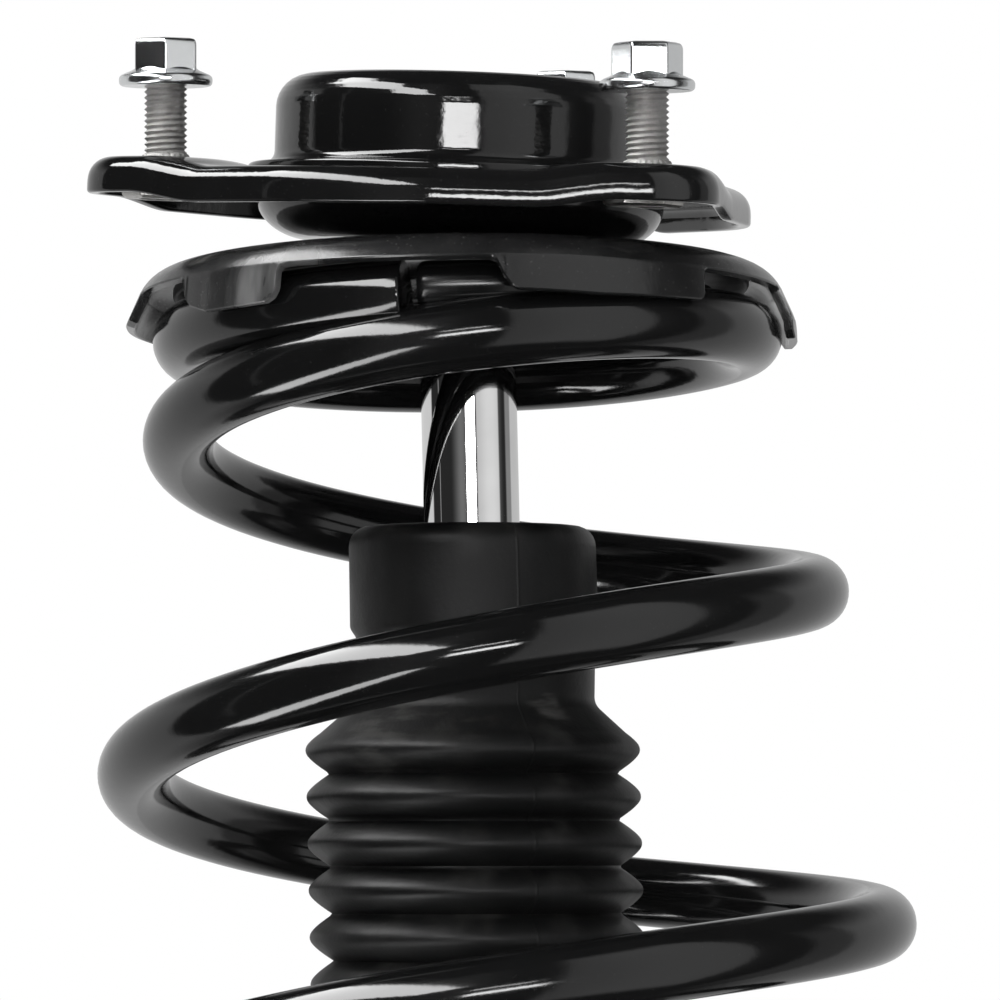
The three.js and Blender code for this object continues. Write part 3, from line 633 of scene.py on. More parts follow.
def thread(radius, low, high, pitch, depth, sides=40, steps=8, taper=1.2):
    """A right-hand screw thread, tapered at its lower end, as an open-profiled turned solid."""
    rows = int((high - low) / pitch * steps)
    z = np.linspace(low, high, rows + 1)
    angles = np.linspace(0, TAU, sides, endpoint=False)
    phase = (z[None, :] / pitch - angles[:, None] / TAU) % 1
    groove = np.clip(1 - np.abs(phase - 0.5) * 2, 0.08, 0.85)
    groove = (groove - 0.08) / 0.77
    fade = np.clip((z - low) / taper, 0, 1)[None, :]
    r = radius - depth * groove - (1 - fade) * 0.9
    r = np.concatenate([np.zeros((sides, 1)), r, np.zeros((sides, 1))], 1)
    z = np.concatenate([[low], z, [high]])
    return turned(r, z, angles), grid_faces(sides, rows + 3, True, False)


def hex_head(flats, low, high, first_corner, edge=1.1):
    """A hexagon head: crisp corners, a rounded crown, and corners cut lower than the flats."""
    outline = polygon(6, flats, corner=0.5, first=first_corner, steps=3)
    outline = np.array(braced(outline, True, margin=0.25))
    reach = np.linalg.norm(outline, axis=1)
    drop = np.maximum(0, reach - (flats / 2 + 0.1)) * 0.7
    shoulder = high - edge - drop
    rings = [level(outline, low), level(outline, shoulder - 0.3)]
    for a in quarter(6):
        scale = 1 - edge * 0.9 * (1 - math.cos(a)) / reach
        rings.append(level(outline * scale[:, None], shoulder + (edge + drop * 0.7) * math.sin(a)))
    rings.append(level(outline * 0.8, high))
    return skinned(rings)


BOWL_ASIDE = 1
BOWL_RADIUS = 47
BOWL_BOTTOM = -17
BOWL_BOTTOM_RADIUS = 34
BOWL_BOTTOM_RISE = 10
BOWL_OPENING = 31
CUP_SHEET = 2.3


def bowl_outline():
    """The bowl in section: a straight collar, an elliptical shoulder, a flat bottom with a hole."""
    ceiling = PLATE_TOP - PLATE_SHEET - 0.3
    width, rise = BOWL_RADIUS - BOWL_BOTTOM_RADIUS, BOWL_BOTTOM_RISE
    middle = BOWL_BOTTOM + rise

    def shoulder(inwards):
        wide, tall = width - inwards, rise - inwards
        turns = arc(1, 0, -math.pi / 2, 16)
        return [(BOWL_BOTTOM_RADIUS + wide * x, middle + tall * y) for x, y in turns]

    lip = [
        (BOWL_OPENING + 0.5, BOWL_BOTTOM), (BOWL_OPENING, BOWL_BOTTOM + 0.5),
        (BOWL_OPENING, BOWL_BOTTOM + CUP_SHEET - 0.4), (BOWL_OPENING + 0.4, BOWL_BOTTOM + CUP_SHEET),
    ]
    outer = [(BOWL_RADIUS, ceiling)] + shoulder(0)
    inner = shoulder(CUP_SHEET)[::-1] + [(BOWL_RADIUS - CUP_SHEET, ceiling)]
    return outer + lip + inner


BOLT_STANDS = 16.6
BOLT_LENGTH = 25.6
BOLT_ASIDE = 0.65  # the bolts stand a little loose in their holes, and more upright than the mount
BOLT_LEAN = math.radians(-1.9)
FLANGE_RADIUS = 10.75
THREAD_PITCH = 1.33


def knurled_collar():
    """The short splined collar that grips the plate's hole, at the foot of a bolt's thread."""
    profile = rounded([(4.2, -0.6, 0), (5.9, -0.6, 0.2), (5.35, 0.9, 0.3), (4.2, 1.5, 0)], steps=3)
    points, faces = lathe(profile, 144)
    angle = np.arctan2(points[:, 1], points[:, 0])
    outside = smoothstep(np.hypot(points[:, 0], points[:, 1]), 4.6, 5.2)
    ridge = 1 - 0.035 * outside * (0.5 + 0.5 * np.cos(24 * angle))
    points[:, :2] *= ridge[:, None]
    return points, faces


def build_mount():
    build_plate()
    build_cups()
    build_mount_rubber()
    for side, (azimuth, corner) in BOLTS.items():
        x, y = bolt_place(azimuth)
        build_bolt(side, MOUNT @ shift(x + BOLT_ASIDE, y, 0) @ turn(BOLT_LEAN, "Y"), corner)
        build_weld_nut(side, MOUNT @ shift(x, y, 0))


def build_plate():
    holes = []
    for azimuth, _ in BOLTS.values():
        x, y = bolt_place(azimuth)
        holes.append(bore(5.4, -12, 3, 40, x, y))
    make("top_mount_plate", plate_shape(), MOUNT_PAINT, "mount", ["mount_plate"], "mount_paint", MOUNT,
         sharp=50, cuts=holes)


def build_cups():
    """The domed cup above the plate and the deep bowl below it."""
    floor = PLATE_TOP + 0.3
    brim = floor + CUP_SHEET
    upper = rounded([
        (39.7, floor, 0.4), (48, floor, 0.5), (48, brim, 1.0), (42, brim, 3.2),
        (42, 20.9, 7.5), (22, 20.9, 1.0), (22, 18.6, 0.6), (39.7, 18.6, 5.2),
    ], steps=8)
    make("top_mount_cup", lathe(upper, 160), MOUNT_PAINT, "mount", ["mount_upper_cup"], "mount_paint",
         MOUNT)
    make("top_mount_bowl", lathe(bowl_outline(), 160), MOUNT_PAINT, "mount", ["mount_lower_cup"],
         "mount_paint", MOUNT @ shift(BOWL_ASIDE, 0, 0))


def build_mount_rubber():
    """The rubber in the cups, moulded round the bearing so that its bore is square to the rod."""
    outside = 39.2
    block = rounded([
        (26.3, -14.1, 0.4), (outside - 3.5, -14.1, 1.0), (outside, -9.1, 3.0), (outside, 8, 4.0),
        (31, 9.0, 2.0), (28, 6.5, 1.5), (23, 6.5, 1.2), (23, -1.6, 0.3), (26.4, -1.6, 0.2),
    ], steps=6)
    points, faces = lathe(block, 120)
    lean = np.array(MOUNT)
    leaned = points @ lean[:3, :3].T + lean[:3, 3]
    share = smoothstep(np.hypot(points[:, 0], points[:, 1]), 27, 33)[:, None]
    block = points * (1 - share) + leaned * share, faces
    make("top_mount_rubber", block, RUBBER, "mount", ["mount_rubber"], "rubber")


def build_bolt(side, place, corner):
    seat = BOLT_STANDS
    flange = rounded([
        (0, seat, 0), (4.6, seat, 0.3), (FLANGE_RADIUS - 0.1, seat, 1.0),
        (FLANGE_RADIUS, seat + 2.3, 1.2), (7.7, seat + 3.6, 1.8), (6.5, seat + 4.6, 0.5),
        (0, seat + 4.6, 0),
    ], closed=False, steps=6)
    head = hex_head(14, seat + 2.2, seat + 10.9, math.radians(corner))
    make(f"bolt_{side}", together(lathe(flange, 72, closed=False), head), ZINC, "mount",
         [f"flange_bolt_{side}"], "bolt_plating", place, sharp=28)
    shank = thread(4.9, seat - BOLT_LENGTH, seat + 0.1, THREAD_PITCH, 0.62)
    make(f"bolt_{side}_thread", together(shank, knurled_collar()), THREAD_ZINC, "mount", [],
         "bolt_plating", place, sharp=50)


def build_weld_nut(side, place):
    top = -PLATE_SHEET - 0.3
    levels = [(top - 6, 1.2), (top - 5.4, 0.2), (top - 4.8, 0), (top - 0.4, 0), (top, 0.3)]
    make(f"weld_nut_{side}_body", stack(polygon(6, 16, corner=0.8), levels), BARE_STEEL, "mount",
         [f"weld_nut_{side}"], "bare_steel", place, sharp=28, cuts=[bore(5.15, top - 7, top + 1)])


def build_rod():
    thread_low = -1.6
    shaft = rounded([
        (0, -408, 0), (6, -408, 0.8), (6, -373, 0.2), (ROD_RADIUS, -373, 0.6),
        (ROD_RADIUS, -26.5, 0.9), (7, -26.5, 0.2), (7, thread_low, 0), (0, thread_low, 0),
    ], closed=False, steps=4)
    make("rod", lathe(shaft, 128, closed=False), CHROME, "rod_and_seat", ["piston_rod"], "hard_chrome")
    stub = thread(6.95, thread_low - 0.1, 14, 1.5, 0.75, sides=64)
    make("rod_stub", stub, BARE_STEEL, "rod_and_seat", [], "hard_chrome", sharp=50)

    washer = rounded([(7.3, -1.7, 0.3), (17, -1.7, 0.4), (17, 0.8, 0.7), (7.3, 0.8, 0.3)], steps=3)
    make("rod_washer_ring", lathe(washer, 96), ZINC, "rod_and_seat", ["rod_washer"], "bolt_plating")
    outline = polygon(6, 22, corner=1.0)
    nut = stack(outline, [(1.1, 1.4), (1.5, 0.4), (2.0, 0), (10.9, 0), (11.5, 0.6), (12, 1.8)])
    make("rod_top_nut", nut, ZINC, "rod_and_seat", ["rod_nut"], "bolt_plating", sharp=28,
         cuts=[bore(7.25, 0, 13, 48)])


# ---------------- upper spring seat

RIM_CORNER = 10
RIM_FLARE = math.radians(23)
RIM_MIDDLE = (SEAT_RADIUS - RIM_CORNER * math.cos(RIM_FLARE), SEAT_TOP - 0.6 - RIM_CORNER)
# The rim's lower edge: azimuth from the front towards +X in degrees, and how far it hangs
# below the plain rim, in millimetres. Between two entries it runs straight.
EDGE = [
    (-113, 0), (-111, 0.4), (-109.6, 5.8), (-107.5, 7.2), (-84, 7.2), (-81.2, 6.4), (-79.8, 0.5),
    (-78, 0),
    (-58.2, 0), (-57.3, 0.5), (-55.9, 5.4), (-54.5, 7.0), (-49.9, 8.8), (-42, 8.7), (-35.6, 8.4),
    (-34.2, 7.4), (-33.4, 5.6), (-33.1, 1.3), (-32.6, 0.3), (-31.4, 0),
    (4.4, 0), (5.6, 0.2), (6.4, 0.8), (7.7, 4.4), (9.0, 6.6), (10.2, 7.4), (24.7, 8.0), (46.2, 7.4),
    (47.0, 6.6), (47.3, 0.7), (48.4, 0),
    (77, 0), (78, 0.8), (79.2, 10.2), (81.5, 11.7), (97, 11.7), (99.4, 10.4), (100.6, 1), (102, 0),
    (138, 0), (139, 1.0), (140.4, 6.4), (142, 7), (162, 7), (163.8, 6.2), (165, 0.6), (166, 0),
    (204, 0), (205, 0.8), (206.6, 6.4), (208, 7), (230, 7), (231.8, 6.0), (233, 0.6), (234, 0),
]
# The tabs by azimuth: from, to, and their flare in degrees at the root and at the end
FLARES = [
    (-114, -76, 24, 8), (-60, -31, 6, 4), (4, 50, 6, 4), (76, 103, 24, 2),
    (136, 168, 17, 17), (202, 236, 17, 17),
]


# The flat of the dish with its shallow ring: radius and rise, from the hub outwards
DISH = [
    (14, 0), (19.5, 0), (23, 0.0), (26, -0.5), (30, -1.1), (40, -1.1), (45, -0.6), (49, 0), (56, 0),
    (61, -0.25),
]


def rim_azimuths():
    """One azimuth a degree, and closer ones at the corners of the rim's lower edge."""
    azimuths = set(np.arange(-126, 234, 1.0))
    for azimuth, _ in EDGE:
        azimuths |= {azimuth - 0.25, azimuth, azimuth + 0.25}
    return np.array(sorted(a for a in azimuths if -126 <= a < 234))


def rim_flares(azimuths, hang):
    """The skirt's flare at its root and at its tip: the rim's own, or a tab's."""
    is_tab = smoothstep(hang, 0, 4)
    root, tip = np.full_like(azimuths, RIM_FLARE), np.full_like(azimuths, RIM_FLARE)
    for low, high, at_root, at_tip in FLARES:
        inside = (azimuths > low) & (azimuths < high)
        root[inside] += (math.radians(at_root) - RIM_FLARE) * is_tab[inside]
        tip[inside] += (math.radians(at_tip) - RIM_FLARE) * is_tab[inside]
    return root, tip


def ring(azimuths, radius, height):
    return np.full_like(azimuths, radius), np.full_like(azimuths, height)


def dish_rows(azimuths):
    """Rows of the flat and of its corner, outside and inside the sheet."""
    outer, inner = [], []
    for radius, rise in DISH:
        outer.append(ring(azimuths, radius, SEAT_TOP + rise))
        inner.append(ring(azimuths, radius, SEAT_TOP + rise - SEAT_SHEET))
    middle_r, middle_z = RIM_MIDDLE
    for a in np.linspace(math.pi / 2, RIM_FLARE + 0.06, 10):
        for rows, size in ((outer, RIM_CORNER), (inner, RIM_CORNER - SEAT_SHEET)):
            rows.append(ring(azimuths, middle_r + size * math.cos(a), middle_z + size * math.sin(a)))
    return outer, inner


def skirt_rows(azimuths):
    """Rows of the skirt, which is short where the rim is plain and long at the tabs."""
    hang = np.interp(azimuths, *np.array(EDGE).T)
    root, tip = rim_flares(azimuths, hang)
    start, chamfer = -0.5, 0.3
    end = hang / np.cos((root + tip) / 2) - chamfer
    radius = RIM_MIDDLE[0] + RIM_CORNER * math.cos(RIM_FLARE) + start * math.sin(RIM_FLARE)
    height = RIM_MIDDLE[1] + RIM_CORNER * math.sin(RIM_FLARE) - start * math.cos(RIM_FLARE)
    r, z = ring(azimuths, radius, height)
    along = np.full_like(azimuths, start)
    outer, inner = [], []
    for share in (0, 0.05, 0.12, 0.22, 0.35, 0.5, 0.65, 0.8, 0.92, 1.0):
        target = start + (end - start) * share
        middle = (along + target) / 2
        flare = root + (tip - root) * smoothstep(middle, 5.5, 9.5)
        flare = np.where(middle < 0, RIM_FLARE, flare)
        r, z = r + (target - along) * np.sin(flare), z - (target - along) * np.cos(flare)
        along = target
        facing = RIM_FLARE + (flare - RIM_FLARE) * smoothstep(along, 0, 2.5)
        outer.append((r, z))
        inner.append((r - SEAT_SHEET * np.cos(facing), z - SEAT_SHEET * np.sin(facing)))
    r, z = r + chamfer * np.sin(flare), z - chamfer * np.cos(flare)
    for inset in (chamfer, SEAT_SHEET - chamfer):
        outer.append((r - inset * np.cos(facing), z - inset * np.sin(facing)))
    return outer, inner


def seat_shape():
    azimuths = rim_azimuths()
    dish_outer, dish_inner = dish_rows(azimuths)
    skirt_outer, skirt_inner = skirt_rows(azimuths)
    rows = dish_outer + skirt_outer + skirt_inner[::-1] + dish_inner[::-1]
    a = np.radians(azimuths)
    points = [np.stack([r * np.sin(a), -r * np.cos(a), z], -1) for r, z in rows]
    grid = np.stack(points, 1).reshape(-1, 3)
    return grid, grid_faces(len(azimuths), len(rows), True, True)


def build_seat():
    make("spring_seat_dish", seat_shape(), SEAT_PAINT, "rod_and_seat", ["upper_spring_seat"],
         "seat_paint", SEAT, sharp=32)
    hub = rounded([(7.3, -26.2, 0.4), (19, -26.2, 0.5), (19, -21.6, 0.8), (7.3, -21.6, 0.4)], steps=4)
    make("spring_seat_hub", lathe(hub, 96), SEAT_PAINT, "rod_and_seat", [], "seat_paint")


ISOLATOR_RADIUS = 61
ISOLATOR_HALF_WIDTH = 5.2
STOP_FROM, STOP_TO = -8.4, 60  # azimuths, from the front towards +X


def build_isolator():
    """The rubber ring between the spring seat and the wire."""
    azimuths = np.linspace(-180, 180, 360, endpoint=False)
    a = np.radians(azimuths)
    front = np.cos(a)
    above = SEAT_TOP - SEAT_SHEET - 0.6 + ISOLATOR_RADIUS * front * math.tan(-SEAT_PITCH)
    below = COIL_TOP + WIRE_RADIUS + 0.8 + ISOLATOR_RADIUS * front * math.tan(COIL_LEAN)
    top, bottom = above, np.minimum(below, above - 1.5)
    circle = round_section(np.ones(len(azimuths)), 28)
    squarish = np.sign(circle) * np.abs(circle) ** 0.5
    half_height = (top - bottom) / 2
    size = np.stack([np.full_like(half_height, ISOLATOR_HALF_WIDTH), half_height], -1)
    section = squarish * size[:, None]
    path = np.stack([
        ISOLATOR_RADIUS * np.sin(a) + SEAT_ASIDE, -ISOLATOR_RADIUS * np.cos(a), (top + bottom) / 2,
    ], -1)
    make("spring_isolator", sweep(path, section, closed=True), RUBBER, "rod_and_seat",
         ["upper_isolator"], "rubber")


def build_isolator_stop():
    """The ring's thick end, which the wire's tip stands against."""
    azimuths = np.linspace(STOP_FROM, STOP_TO, 90)
    a = np.radians(azimuths)
    reach = 62.5
    lean = reach * np.cos(a) * math.tan(COIL_LEAN)
    path = np.stack([reach * np.sin(a) + SEAT_ASIDE, -reach * np.cos(a), COIL_TOP + 2.6 + lean], -1)
    fade = np.clip((azimuths - STOP_FROM) / 1.0, 0, 1)
    size = 5.6 * (0.86 + 0.14 * np.sqrt(fade)) * (1 - 0.35 * smoothstep(azimuths, 20, STOP_TO))
    stop = sweep(path, round_section(size, 28))
    make("spring_isolator_stop", stop, STOP_RUBBER, "rod_and_seat", [], "rubber")


# ---------------- coil spring

# Radius of the wire's centre line: in the top coil, gained below it, and in the bottom coil
UPPER_RADIUS, SWELL, LOWER_RADIUS = 63, 27.5, 80
TIP_AZIMUTH = math.radians(-12.8)  # from the front, towards +X


def faded_in(turns):
    within = np.clip((turns - RAMP_START) / (RAMP_END - RAMP_START), 0, 1)
    return (RAMP_END - RAMP_START) * within * within / 2 + np.maximum(0, turns - RAMP_END)


def coil_path(turns):
    """Centre of the wire, counted in turns from the upper tip."""
    # the coil opens out below its narrow top, then draws in again to the bottom coil
    past = turns - 0.95
    ramp = (past + np.hypot(past, 0.25)) / 2
    middle = UPPER_RADIUS + SWELL * np.sin(math.pi / 2 * np.clip(ramp / 2.6, 0, 1))
    radius = middle + (LOWER_RADIUS - middle) * smoothstep(turns, 3.4, COIL_TURNS - 0.9)
    # it is level at both ends, and leans and wanders where it is free of the lower seat
    from_top, from_bottom = PITCH * faded_in(turns), PITCH * faded_in(COIL_TURNS - turns)
    drop = np.where(turns < COIL_TURNS / 2, from_top, COIL_DROP - from_bottom)
    loose = 1 - smoothstep(turns, 2.65, COIL_TURNS - 0.9)
    angle = TIP_AZIMUTH - TAU * turns
    narrowed = 1 - 0.0035 * smoothstep(turns, 2.75, 3.15)
    flattened = 1 - 0.009 * smoothstep(turns, 1.6, 2.6)
    x = radius * np.sin(angle) * narrowed + (SEAT_ASIDE + 2 * turns) * loose
    y = -radius * np.cos(angle) * flattened
    lean = -y * math.tan(COIL_LEAN) + 1.2 * np.cos(TAU * (turns - 1.5) / 1.8)
    return np.stack([x, y, COIL_TOP - drop + lean * loose], -1)


def build_coil():
    bevel = 0.5
    one_turn = TAU * 70  # length of wire, near enough to space the rings of the rounded ends
    shares = np.array([0.0, 0.12, 0.35, 0.65, 1.0])
    turns = np.linspace(TIP_START, COIL_TURNS, 620)
    near = shares * bevel / one_turn
    turns = np.concatenate([TIP_START + near, turns[1:-1], COIL_TURNS - near[::-1]])
    size = np.full(len(turns), WIRE_RADIUS)
    for k, share in enumerate(shares):
        size[k] = size[-1 - k] = WIRE_RADIUS - bevel * (1 - math.sqrt(1 - (1 - share) ** 2))
    wire = sweep(coil_path(turns), round_section(size, 40))
    coil = make("coil", wire, SPRING_PAINT, None, ["coil_spring"], "spring_paint", sharp=40)
    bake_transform(coil)


# ---------------- dust boot

BELLOWS_PITCH = 10.7
FIRST_PEAK = -133.3
BELLOWS = 15
BOOT_BOTTOM = -302
BELLOWS_PEAK = 38.6
BELLOWS_VALLEY = 32.9


def fold_radius(below_peak):
    """Radius of the bellows at a height below one of its peaks: round peaks, sharp valleys."""
    phase = below_peak / BELLOWS_PITCH
    straight = 1 - 2 * abs(phase - round(phase))
    blunting = 0.04 * math.exp(-((1 - straight) / 0.12) ** 2)
    wave = 0.7 * abs(math.cos(math.pi * phase)) + 0.3 * straight - blunting
    return BELLOWS_VALLEY + (BELLOWS_PEAK - BELLOWS_VALLEY) * wave


def boot_outline():
    first = -3.9  # where the first fold's upper side starts, above its peak
    cap = rounded([
        (ROD_RADIUS + 0.5, -82.6, 0.4), (14, -82, 1.0), (28.3, -82, 4.6), (28.5, -105.4, 2.4),
        (27.2, -107.4, 0.8), (27.6, -111, 0.8), (27.6, -122.8, 4.0),
        (fold_radius(first), FIRST_PEAK - first, 1.5),
    ], closed=False, steps=6)
    end = BELLOWS_PITCH * BELLOWS + BELLOWS_PITCH / 2
    folds = [(fold_radius(down), FIRST_PEAK - down) for down in np.arange(first + 0.4, end, 0.6)]
    low = FIRST_PEAK - end
    tail = [
        (BELLOWS_VALLEY, low - 0.5), (BELLOWS_VALLEY, BOOT_BOTTOM + 0.6),
        (BELLOWS_VALLEY - 0.4, BOOT_BOTTOM), (BELLOWS_VALLEY - 1.8, BOOT_BOTTOM),
        (BELLOWS_VALLEY - 2.2, BOOT_BOTTOM + 0.6),
    ]
    inside = [(max(25.4, r - 2.2), z) for r, z in reversed(folds)]
    inside += [(25.4, -125), (25.4, -86), (ROD_RADIUS + 0.5, -86)]
    return cap + folds + tail + inside


BOOT_ASIDE = -1.0
BOOT_LEAN = math.radians(1.2)
SEAM = math.radians(-69)  # direction of the mould's parting line, from +X
# Crumbs at the rod's hole: angle from the front in radians, and size
FLASH = [(-0.75, 0.7), (-0.35, 0.5), (0.1, 0.55), (0.55, 0.8), (1.3, 0.6), (2.4, 0.6), (-2.0, 0.5)]


def flash():
    """Crumbs of torn rubber round the rod's hole."""
    crumbs = []
    for a, size in FLASH:
        profile = rounded([(0, 0, 0), (size, 0, 0.1), (size * 0.7, size, 0.1), (0, size, 0)], False, 2)
        x, y = (ROD_RADIUS + 1.0) * math.sin(a), -(ROD_RADIUS + 1.0) * math.cos(a)
        crumbs.append(moved(lathe(profile, 12, False), shift(x, y, -82.4)))
    return together(*crumbs)


def build_boot():
    near_seam = SEAM + np.radians([-1.4, -0.9, -0.5, -0.2, 0.2, 0.5, 0.9, 1.4])
    points, faces = lathe(boot_outline(), 160, extra_angles=near_seam)
    reach = np.hypot(points[:, 0], points[:, 1])
    angle = np.arctan2(points[:, 1], points[:, 0])
    ridge = 0.2 * np.exp(-((np.degrees(angle - SEAM) / 0.45) ** 2)) * (reach > 26)
    points[:, :2] *= (1 + ridge / reach)[:, None]
    # the soft bellows hang a little to one side, with their folds out of level
    hanging = smoothstep(-points[:, 2], 112, 134)
    points[:, 2] -= points[:, 0] * math.tan(BOOT_LEAN) * smoothstep(reach, 13, 24)
    points[:, 0] += BOOT_ASIDE * hanging
    boot = make("boot_bellows", together((points, faces), flash()), BOOT_RUBBER, None, ["dust_boot"],
                "boot_rubber", sharp=50)
    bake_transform(boot)


# ---------------- damper


def weld_bead(path, size, closed=False, up=(0, 0, 1)):
    """A rippled bead of weld along a path."""
    path = np.array(path, float)
    step = np.linalg.norm(np.roll(path, -1, 0) - path, axis=1)
    along = np.cumsum(step)
    ripple = 1 + 0.10 * np.sin(along * TAU / 2.4) + 0.05 * np.sin(along * TAU / 9.0 + 1)
    return sweep(path, round_section(size * ripple, 10), closed, up)


def ring_path(radius, height, start=0.0, end=TAU, step=0.5):
    """Points of a level arc, or of a whole circle."""
    count = int((end - start) * radius / step)
    angles = np.linspace(start, end, count, endpoint=end - start < TAU)
    x, y = radius * np.cos(angles), radius * np.sin(angles)
    return np.stack([x, y, np.full(count, float(height))], -1)


def straight_path(x, y, low, high, count):
    """Points up an upright line."""
    return np.stack([np.full(count, x), np.full(count, y), np.linspace(low, high, count)], -1)


def painted(name, shape, nodes=(), **settings):
    """A piece of the damper in its black paint."""
    return make(name, shape, DAMPER_PAINT, "damper", nodes, "damper_paint", **settings)


def build_damper():
    tube = rounded([
        (23, -545, 1.0), (TUBE_RADIUS, -545, 3.0), (TUBE_RADIUS, -258.5, 0.5),
        (TUBE_RADIUS, TUBE_TOP, 1.2), (23, TUBE_TOP, 0.4),
    ], steps=5)
    painted("damper_body", lathe(tube, 128), ["damper_tube"])
    gland = rounded([
        (ROD_RADIUS + 1.5, TUBE_TOP + 0.3, 0.3), (TUBE_RADIUS + 0.3, TUBE_TOP + 0.3, 0.2),
        (TUBE_RADIUS + 0.3, TUBE_TOP - 9, 0.2), (TUBE_RADIUS + 2.3, TUBE_TOP - 9, 0.5),
        (TUBE_RADIUS + 2.3, TUBE_TOP + 3.5, 2.2), (ROD_RADIUS + 1.5, TUBE_TOP + 3.5, 0.6),
    ], steps=4)
    make("rod_gland", lathe(gland, 96), BARE_STEEL, "damper", ["gland_cap"], "bare_steel")
    cap = rounded([(0, -543, 0), (22.7, -543, 1.6), (22.7, -531.3, 0.4), (0, -531.3, 0)],
                  closed=False, steps=4)
    dimple = [(r, z + (1.6 if r < 12 and z < -540 else 0)) for r, z in cap]
    painted("damper_foot", lathe(dimple, 96, closed=False), ["bottom_cap"])


def build_lower_seat():
    """The dish welded to the damper's tube, and the rubber pad under the spring's last coil."""
    low = LOWER_SEAT_TOP
    under = low - SEAT_SHEET
    seat = rounded([
        (TUBE_RADIUS + 0.3, low + 8, 0.4), (TUBE_RADIUS + 0.3, under - 6, 0.4),
        (TUBE_RADIUS + 2.5, under - 6, 0.8), (TUBE_RADIUS + 6, under, 3.0),
        (50, under, 2.0), (54, under - 1.6, 2.0), (62, under - 1.6, 2.0), (66, under, 2.0),
        (93, under, 4.0), (93, low + 10, 1.0), (90.8, low + 10, 0.6), (90.8, low, 2.2),
        (66.5, low, 2.0), (62, low - 1.6, 2.0), (54, low - 1.6, 2.0), (50, low, 2.0),
        (TUBE_RADIUS + 6, low, 2.0), (TUBE_RADIUS + 2.5, low + 8, 0.8),
    ], steps=5)
    painted("lower_seat_dish", lathe(seat, 160), ["lower_spring_seat"])
    pad = rounded([
        (70, low + 0.3, 0.5), (88, low + 0.3, 0.5), (88, COIL_BOTTOM - WIRE_RADIUS - 0.7, 0.8),
        (70, COIL_BOTTOM - WIRE_RADIUS - 0.7, 0.8),
    ], steps=3)
    make("lower_seat_pad", lathe(pad, 120), RUBBER, "damper", ["lower_isolator"], "rubber")
    bead = weld_bead(ring_path(TUBE_RADIUS + 1.2, under - 6.4), 1.5, closed=True)
    painted("weld_lower_seat", bead, sharp=60)


CLEVIS_TOP, CLEVIS_BOTTOM = -442, -552
CLEVIS_REACH = 78
CLEVIS_BOLTS = (-466, -528)
CLEVIS_INNER, CLEVIS_OUTER = TUBE_RADIUS + 0.3, TUBE_RADIUS + 5.3
CLEVIS_HALF_GAP, CLEVIS_CHEEK = 16, 21
CLEVIS_OPENS = math.asin(CLEVIS_CHEEK / CLEVIS_OUTER)  # angle where the band leaves the tube


def side_cutter(outline):
    """A cutter through both cheeks, from an outline of (x, z) points."""
    return moved(extruded(outline, -40, 40, bevel=0.01, steps=1), turn(math.pi / 2, "X"))


def clevis_outline():
    """The clevis from above: a band folded round the tube, open between its two cheeks."""
    inner_angle = math.asin((CLEVIS_HALF_GAP + 1.5) / CLEVIS_INNER)
    half_gap, cheek = CLEVIS_HALF_GAP, CLEVIS_CHEEK
    outline = [(CLEVIS_REACH, half_gap), (TUBE_RADIUS - 1.5, half_gap)]
    outline += arc(CLEVIS_INNER, inner_angle, TAU - inner_angle, 64)
    outline += [(TUBE_RADIUS - 1.5, -half_gap), (CLEVIS_REACH, -half_gap), (CLEVIS_REACH, -cheek)]
    outline += arc(CLEVIS_OUTER, TAU - CLEVIS_OPENS, CLEVIS_OPENS, 64)
    outline.append((CLEVIS_REACH, cheek))
    return outline


def clevis_cutters():
    """The bolt holes, the cheeks' rounded corners, and the waist between the bolts."""
    cutters = []
    for height in CLEVIS_BOLTS:
        cutters.append(moved(bore(7.2, -40, 40, 40), shift(58, 0, height) @ turn(math.pi / 2, "X")))
    size = 12
    beyond = CLEVIS_REACH + 1
    centre = CLEVIS_REACH - size
    for end, sign in ((CLEVIS_TOP, 1), (CLEVIS_BOTTOM, -1)):
        corner = [(centre, end + sign), (beyond, end + sign), (beyond, end - sign * (size + 1))]
        corner += arc(size, 0, sign * math.pi / 2, 8, centre, end - sign * size)
        cutters.append(side_cutter(corner))
    middle = (CLEVIS_TOP + CLEVIS_BOTTOM) / 2
    deep, tall = 7, 17
    dip = [(beyond - deep * y, middle + tall * x) for x, y in arc(1, 0, math.pi, 12)]
    waist = [(beyond + 0.1, middle + tall)] + dip + [(beyond + 0.1, middle - tall)]
    cutters.append(side_cutter(waist))
    return cutters


def build_clevis():
    """The folded bracket round the damper's foot, whose two cheeks take the steering knuckle."""
    body = extruded(clevis_outline(), CLEVIS_BOTTOM, CLEVIS_TOP, bevel=0.8)
    clevis = painted("clevis", body, ["knuckle_bracket"], sharp=30, cuts=clevis_cutters())
    softened(clevis)
    ends = CLEVIS_OPENS + 0.3, TAU - CLEVIS_OPENS - 0.3
    bead = weld_bead(ring_path(CLEVIS_OUTER - 3.2, CLEVIS_TOP + 0.4, *ends), 2.2)
    painted("weld_clevis", bead, sharp=60)


def softened(piece, width=0.6):
    """Rounds a sheet-metal piece's sharp edges."""
    bevel = piece.modifiers.new("edges", "BEVEL")
    bevel.width = width * MM
    bevel.segments = 2
    bevel.limit_method = "ANGLE"
    bevel.angle_limit = math.radians(50)


LINK_TAB_HEIGHT, HOSE_TAB_HEIGHT = -405, -385


TAB_FOOT = TUBE_RADIUS + 0.3
HOSE_TAB_HALF = 12


